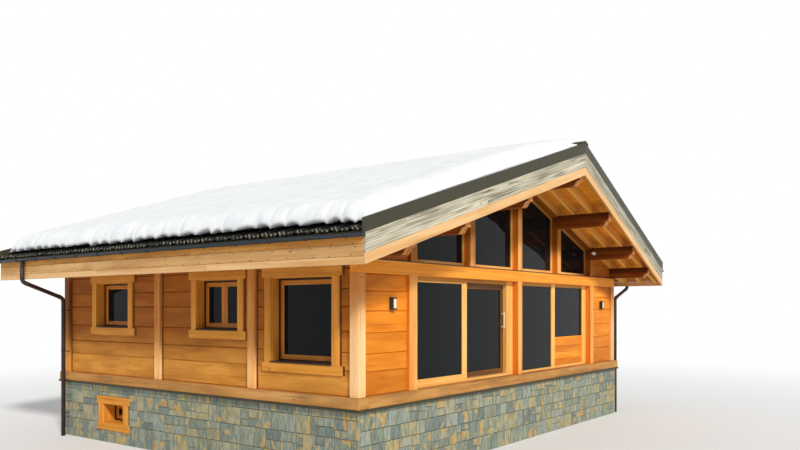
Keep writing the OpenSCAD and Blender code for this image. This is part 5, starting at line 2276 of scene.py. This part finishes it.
@dataclass
class Lamps:
    """Two box lamps with opal fronts, and a spot on the outer right purlin."""

    places: Span = (-4.85, 4.95)
    foot: float = 1.52
    half: float = 0.06
    tall: float = 0.23
    deep: float = 0.09
    plate: float = 0.045
    rim: float = 0.025
    cheek: float = 0.030

    def build(self) -> None:
        """Build and dress the lamps."""
        bodies = Stock("wall_lamp_bodies")
        glass = Stock("wall_lamp_glasses")
        z0 = HOUSE.floor + self.foot
        z1 = z0 + self.tall
        wall = HOUSE.log_setback - HOUSE.half_l
        front, plate = wall - self.deep, wall - self.plate
        for x in self.places:
            x0, x1, inner = x - self.half, x + self.half, x - self.cheek
            bodies.block((x0, plate, z0), (x1, wall, z1), Axis.Z, 0.006, 0.5)
            bodies.block((x0, front, z0), (inner, plate - 0.0002, z1), Axis.Z, 0.005, 0.5)
            for low, high in ((z1 - self.rim, z1), (z0, z0 + self.rim)):
                bodies.block(
                    (inner + 0.0002, front, low), (x1, plate - 0.0002, high), Axis.X, 0.005, 0.5
                )
            glass.block(
                (inner + 0.0004, front + 0.004, z0 + self.rim + 0.0002),
                (x1 - 0.004, plate - 0.0004, z1 - self.rim - 0.0002), Axis.Z, 0.010, 0.5,
            )
        bodies.build(LAMP_STEEL, "lamp_metal", ["wall_lamps"])
        glass.build(OPAL_GLASS, "lamp_white")
        self.spot()

    def spot(self) -> None:
        """Turn the spot lamp: two rims and a narrower barrel between them."""
        stock = Stock("purlin_spot_lamp")
        low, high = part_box("spot_lamp")
        y, z = (low.y + high.y) / 2, (low.z + high.z) / 2
        sizes = ((high.x, 0.045), (high.x - 0.02, 0.045), (high.x - 0.022, 0.036),
                 (low.x + 0.02, 0.036), (low.x + 0.018, 0.045), (low.x, 0.043))
        count = 28
        rings = [[Vector((x, y + a, z + b)) for a, b in circle(radius, count)]
                 for x, radius in sizes]
        caps: List[Face] = [tuple(range(count)), tuple(range(count, 2 * count))]
        for near, far in zip(rings[:-1], rings[1:]):
            stock.solid(near + far, caps + skin(count, 2), ALONG_X, 0.5)
        stock.build(SPOT_STEEL, "lamp_white", ["spot_lamp"])


# Studio


@dataclass
class Studio:
    """A pale floor, soft light and the camera."""

    eye: Tuple[float, float, float] = (-15.682, -13.105, 3.107)
    yaw: float = -53.473
    lens: float = 33.75
    shift: Flat = (-0.0107, 0.1036)

    def build(self) -> None:
        """Set up the floor, the light and the camera."""
        self.camera()
        self.floor()
        self.light()
        bpy.context.scene.view_settings.view_transform = "Standard"

    def camera(self) -> None:
        """Stand the camera where the viewer stands, level."""
        data = bpy.data.cameras.new("viewer")
        data.lens = self.lens
        data.sensor_width = 36.0
        data.shift_x, data.shift_y = self.shift
        data.clip_end = 500.0
        viewer = bpy.data.objects.new("viewer", data)
        viewer.location = self.eye
        viewer.rotation_euler = (math.radians(90.0), 0.0, math.radians(self.yaw))
        bpy.context.scene.collection.objects.link(viewer)
        bpy.context.scene.camera = viewer

    def floor(self) -> None:
        """Lay a pale floor that fades into the backdrop."""
        made = bmesh.new()
        bmesh.ops.create_circle(made, cap_ends=True, segments=96, radius=160.0)
        data = bpy.data.meshes.new("studio_floor")
        made.to_mesh(data)
        made.free()
        ground = bpy.data.objects.new("studio_floor", data)
        bpy.context.scene.collection.objects.link(ground)
        material = bpy.data.materials.new("pale_studio_floor")
        material.use_nodes = True
        draw = Canvas(material.node_tree)
        draw.tree.nodes.clear()
        away = draw.add("VectorMath", (draw.house,), operation="LENGTH")["Value"]
        fade = draw.add("MapRange", (away, 11.0, 30.0), interpolation_type="SMOOTHSTEP")[0]
        near = draw.add("BsdfDiffuse", {"Color": "#eff0f0"})[0]
        far = draw.add("Emission", {"Color": "#ffffff", "Strength": 1.0})[0]
        shader = draw.add("MixShader", (fade, near, far))[0]
        draw.add("OutputMaterial", {"Surface": shader})
        data.materials.append(material)

    def light(self) -> None:
        """Light the house with a soft dome and one broad lamp."""
        world = bpy.data.worlds.new("studio")
        world.use_nodes = True
        bpy.context.scene.world = world
        draw = Canvas(world.node_tree)
        draw.tree.nodes.clear()
        dome = draw.add("Background", {"Color": "#f4f7fb", "Strength": 0.56})[0]
        seen = draw.add("Background", {"Color": "#ffffff", "Strength": 1.0})[0]
        rays = draw.add("LightPath")
        share = rays["Is Camera Ray"]
        for name in ("Is Glossy Ray", "Is Transmission Ray"):
            share = draw.add("Math", (share, rays[name]), operation="MAXIMUM")[0]
        draw.add("OutputWorld", {"Surface": draw.add("MixShader", (share, dome, seen))[0]})
        lamp = bpy.data.lights.new("broad_lamp", "SUN")
        lamp.energy = 2.5
        lamp.angle = math.radians(7.0)
        lamp.color = (1.0, 0.965, 0.91)
        holder = bpy.data.objects.new("broad_lamp", lamp)
        holder.rotation_euler = (math.radians(56.0), 0.0, math.radians(-28.0))
        bpy.context.scene.collection.objects.link(holder)


def main() -> None:
    """Build the chalet, sub-assembly by sub-assembly."""
    logging.basicConfig(level=logging.INFO, format="%(name)s: %(message)s")
    Studio().build()
    windows = Windows()
    openings = windows.list_all()
    Basement().build(openings)
    TimberFrame().build()
    LogWalls().build(openings)
    windows.build()
    Interior().build()
    SlidingDoor().build()
    GableGlazing().build()
    RoofTimbers().build()
    RoofEdges().build()
    TileRoof().build()
    SnowBlanket().build()
    RainGoods().build()
    Lamps().build()


if __name__ == "__main__":
    main()
    bpy.context.view_layer.update()
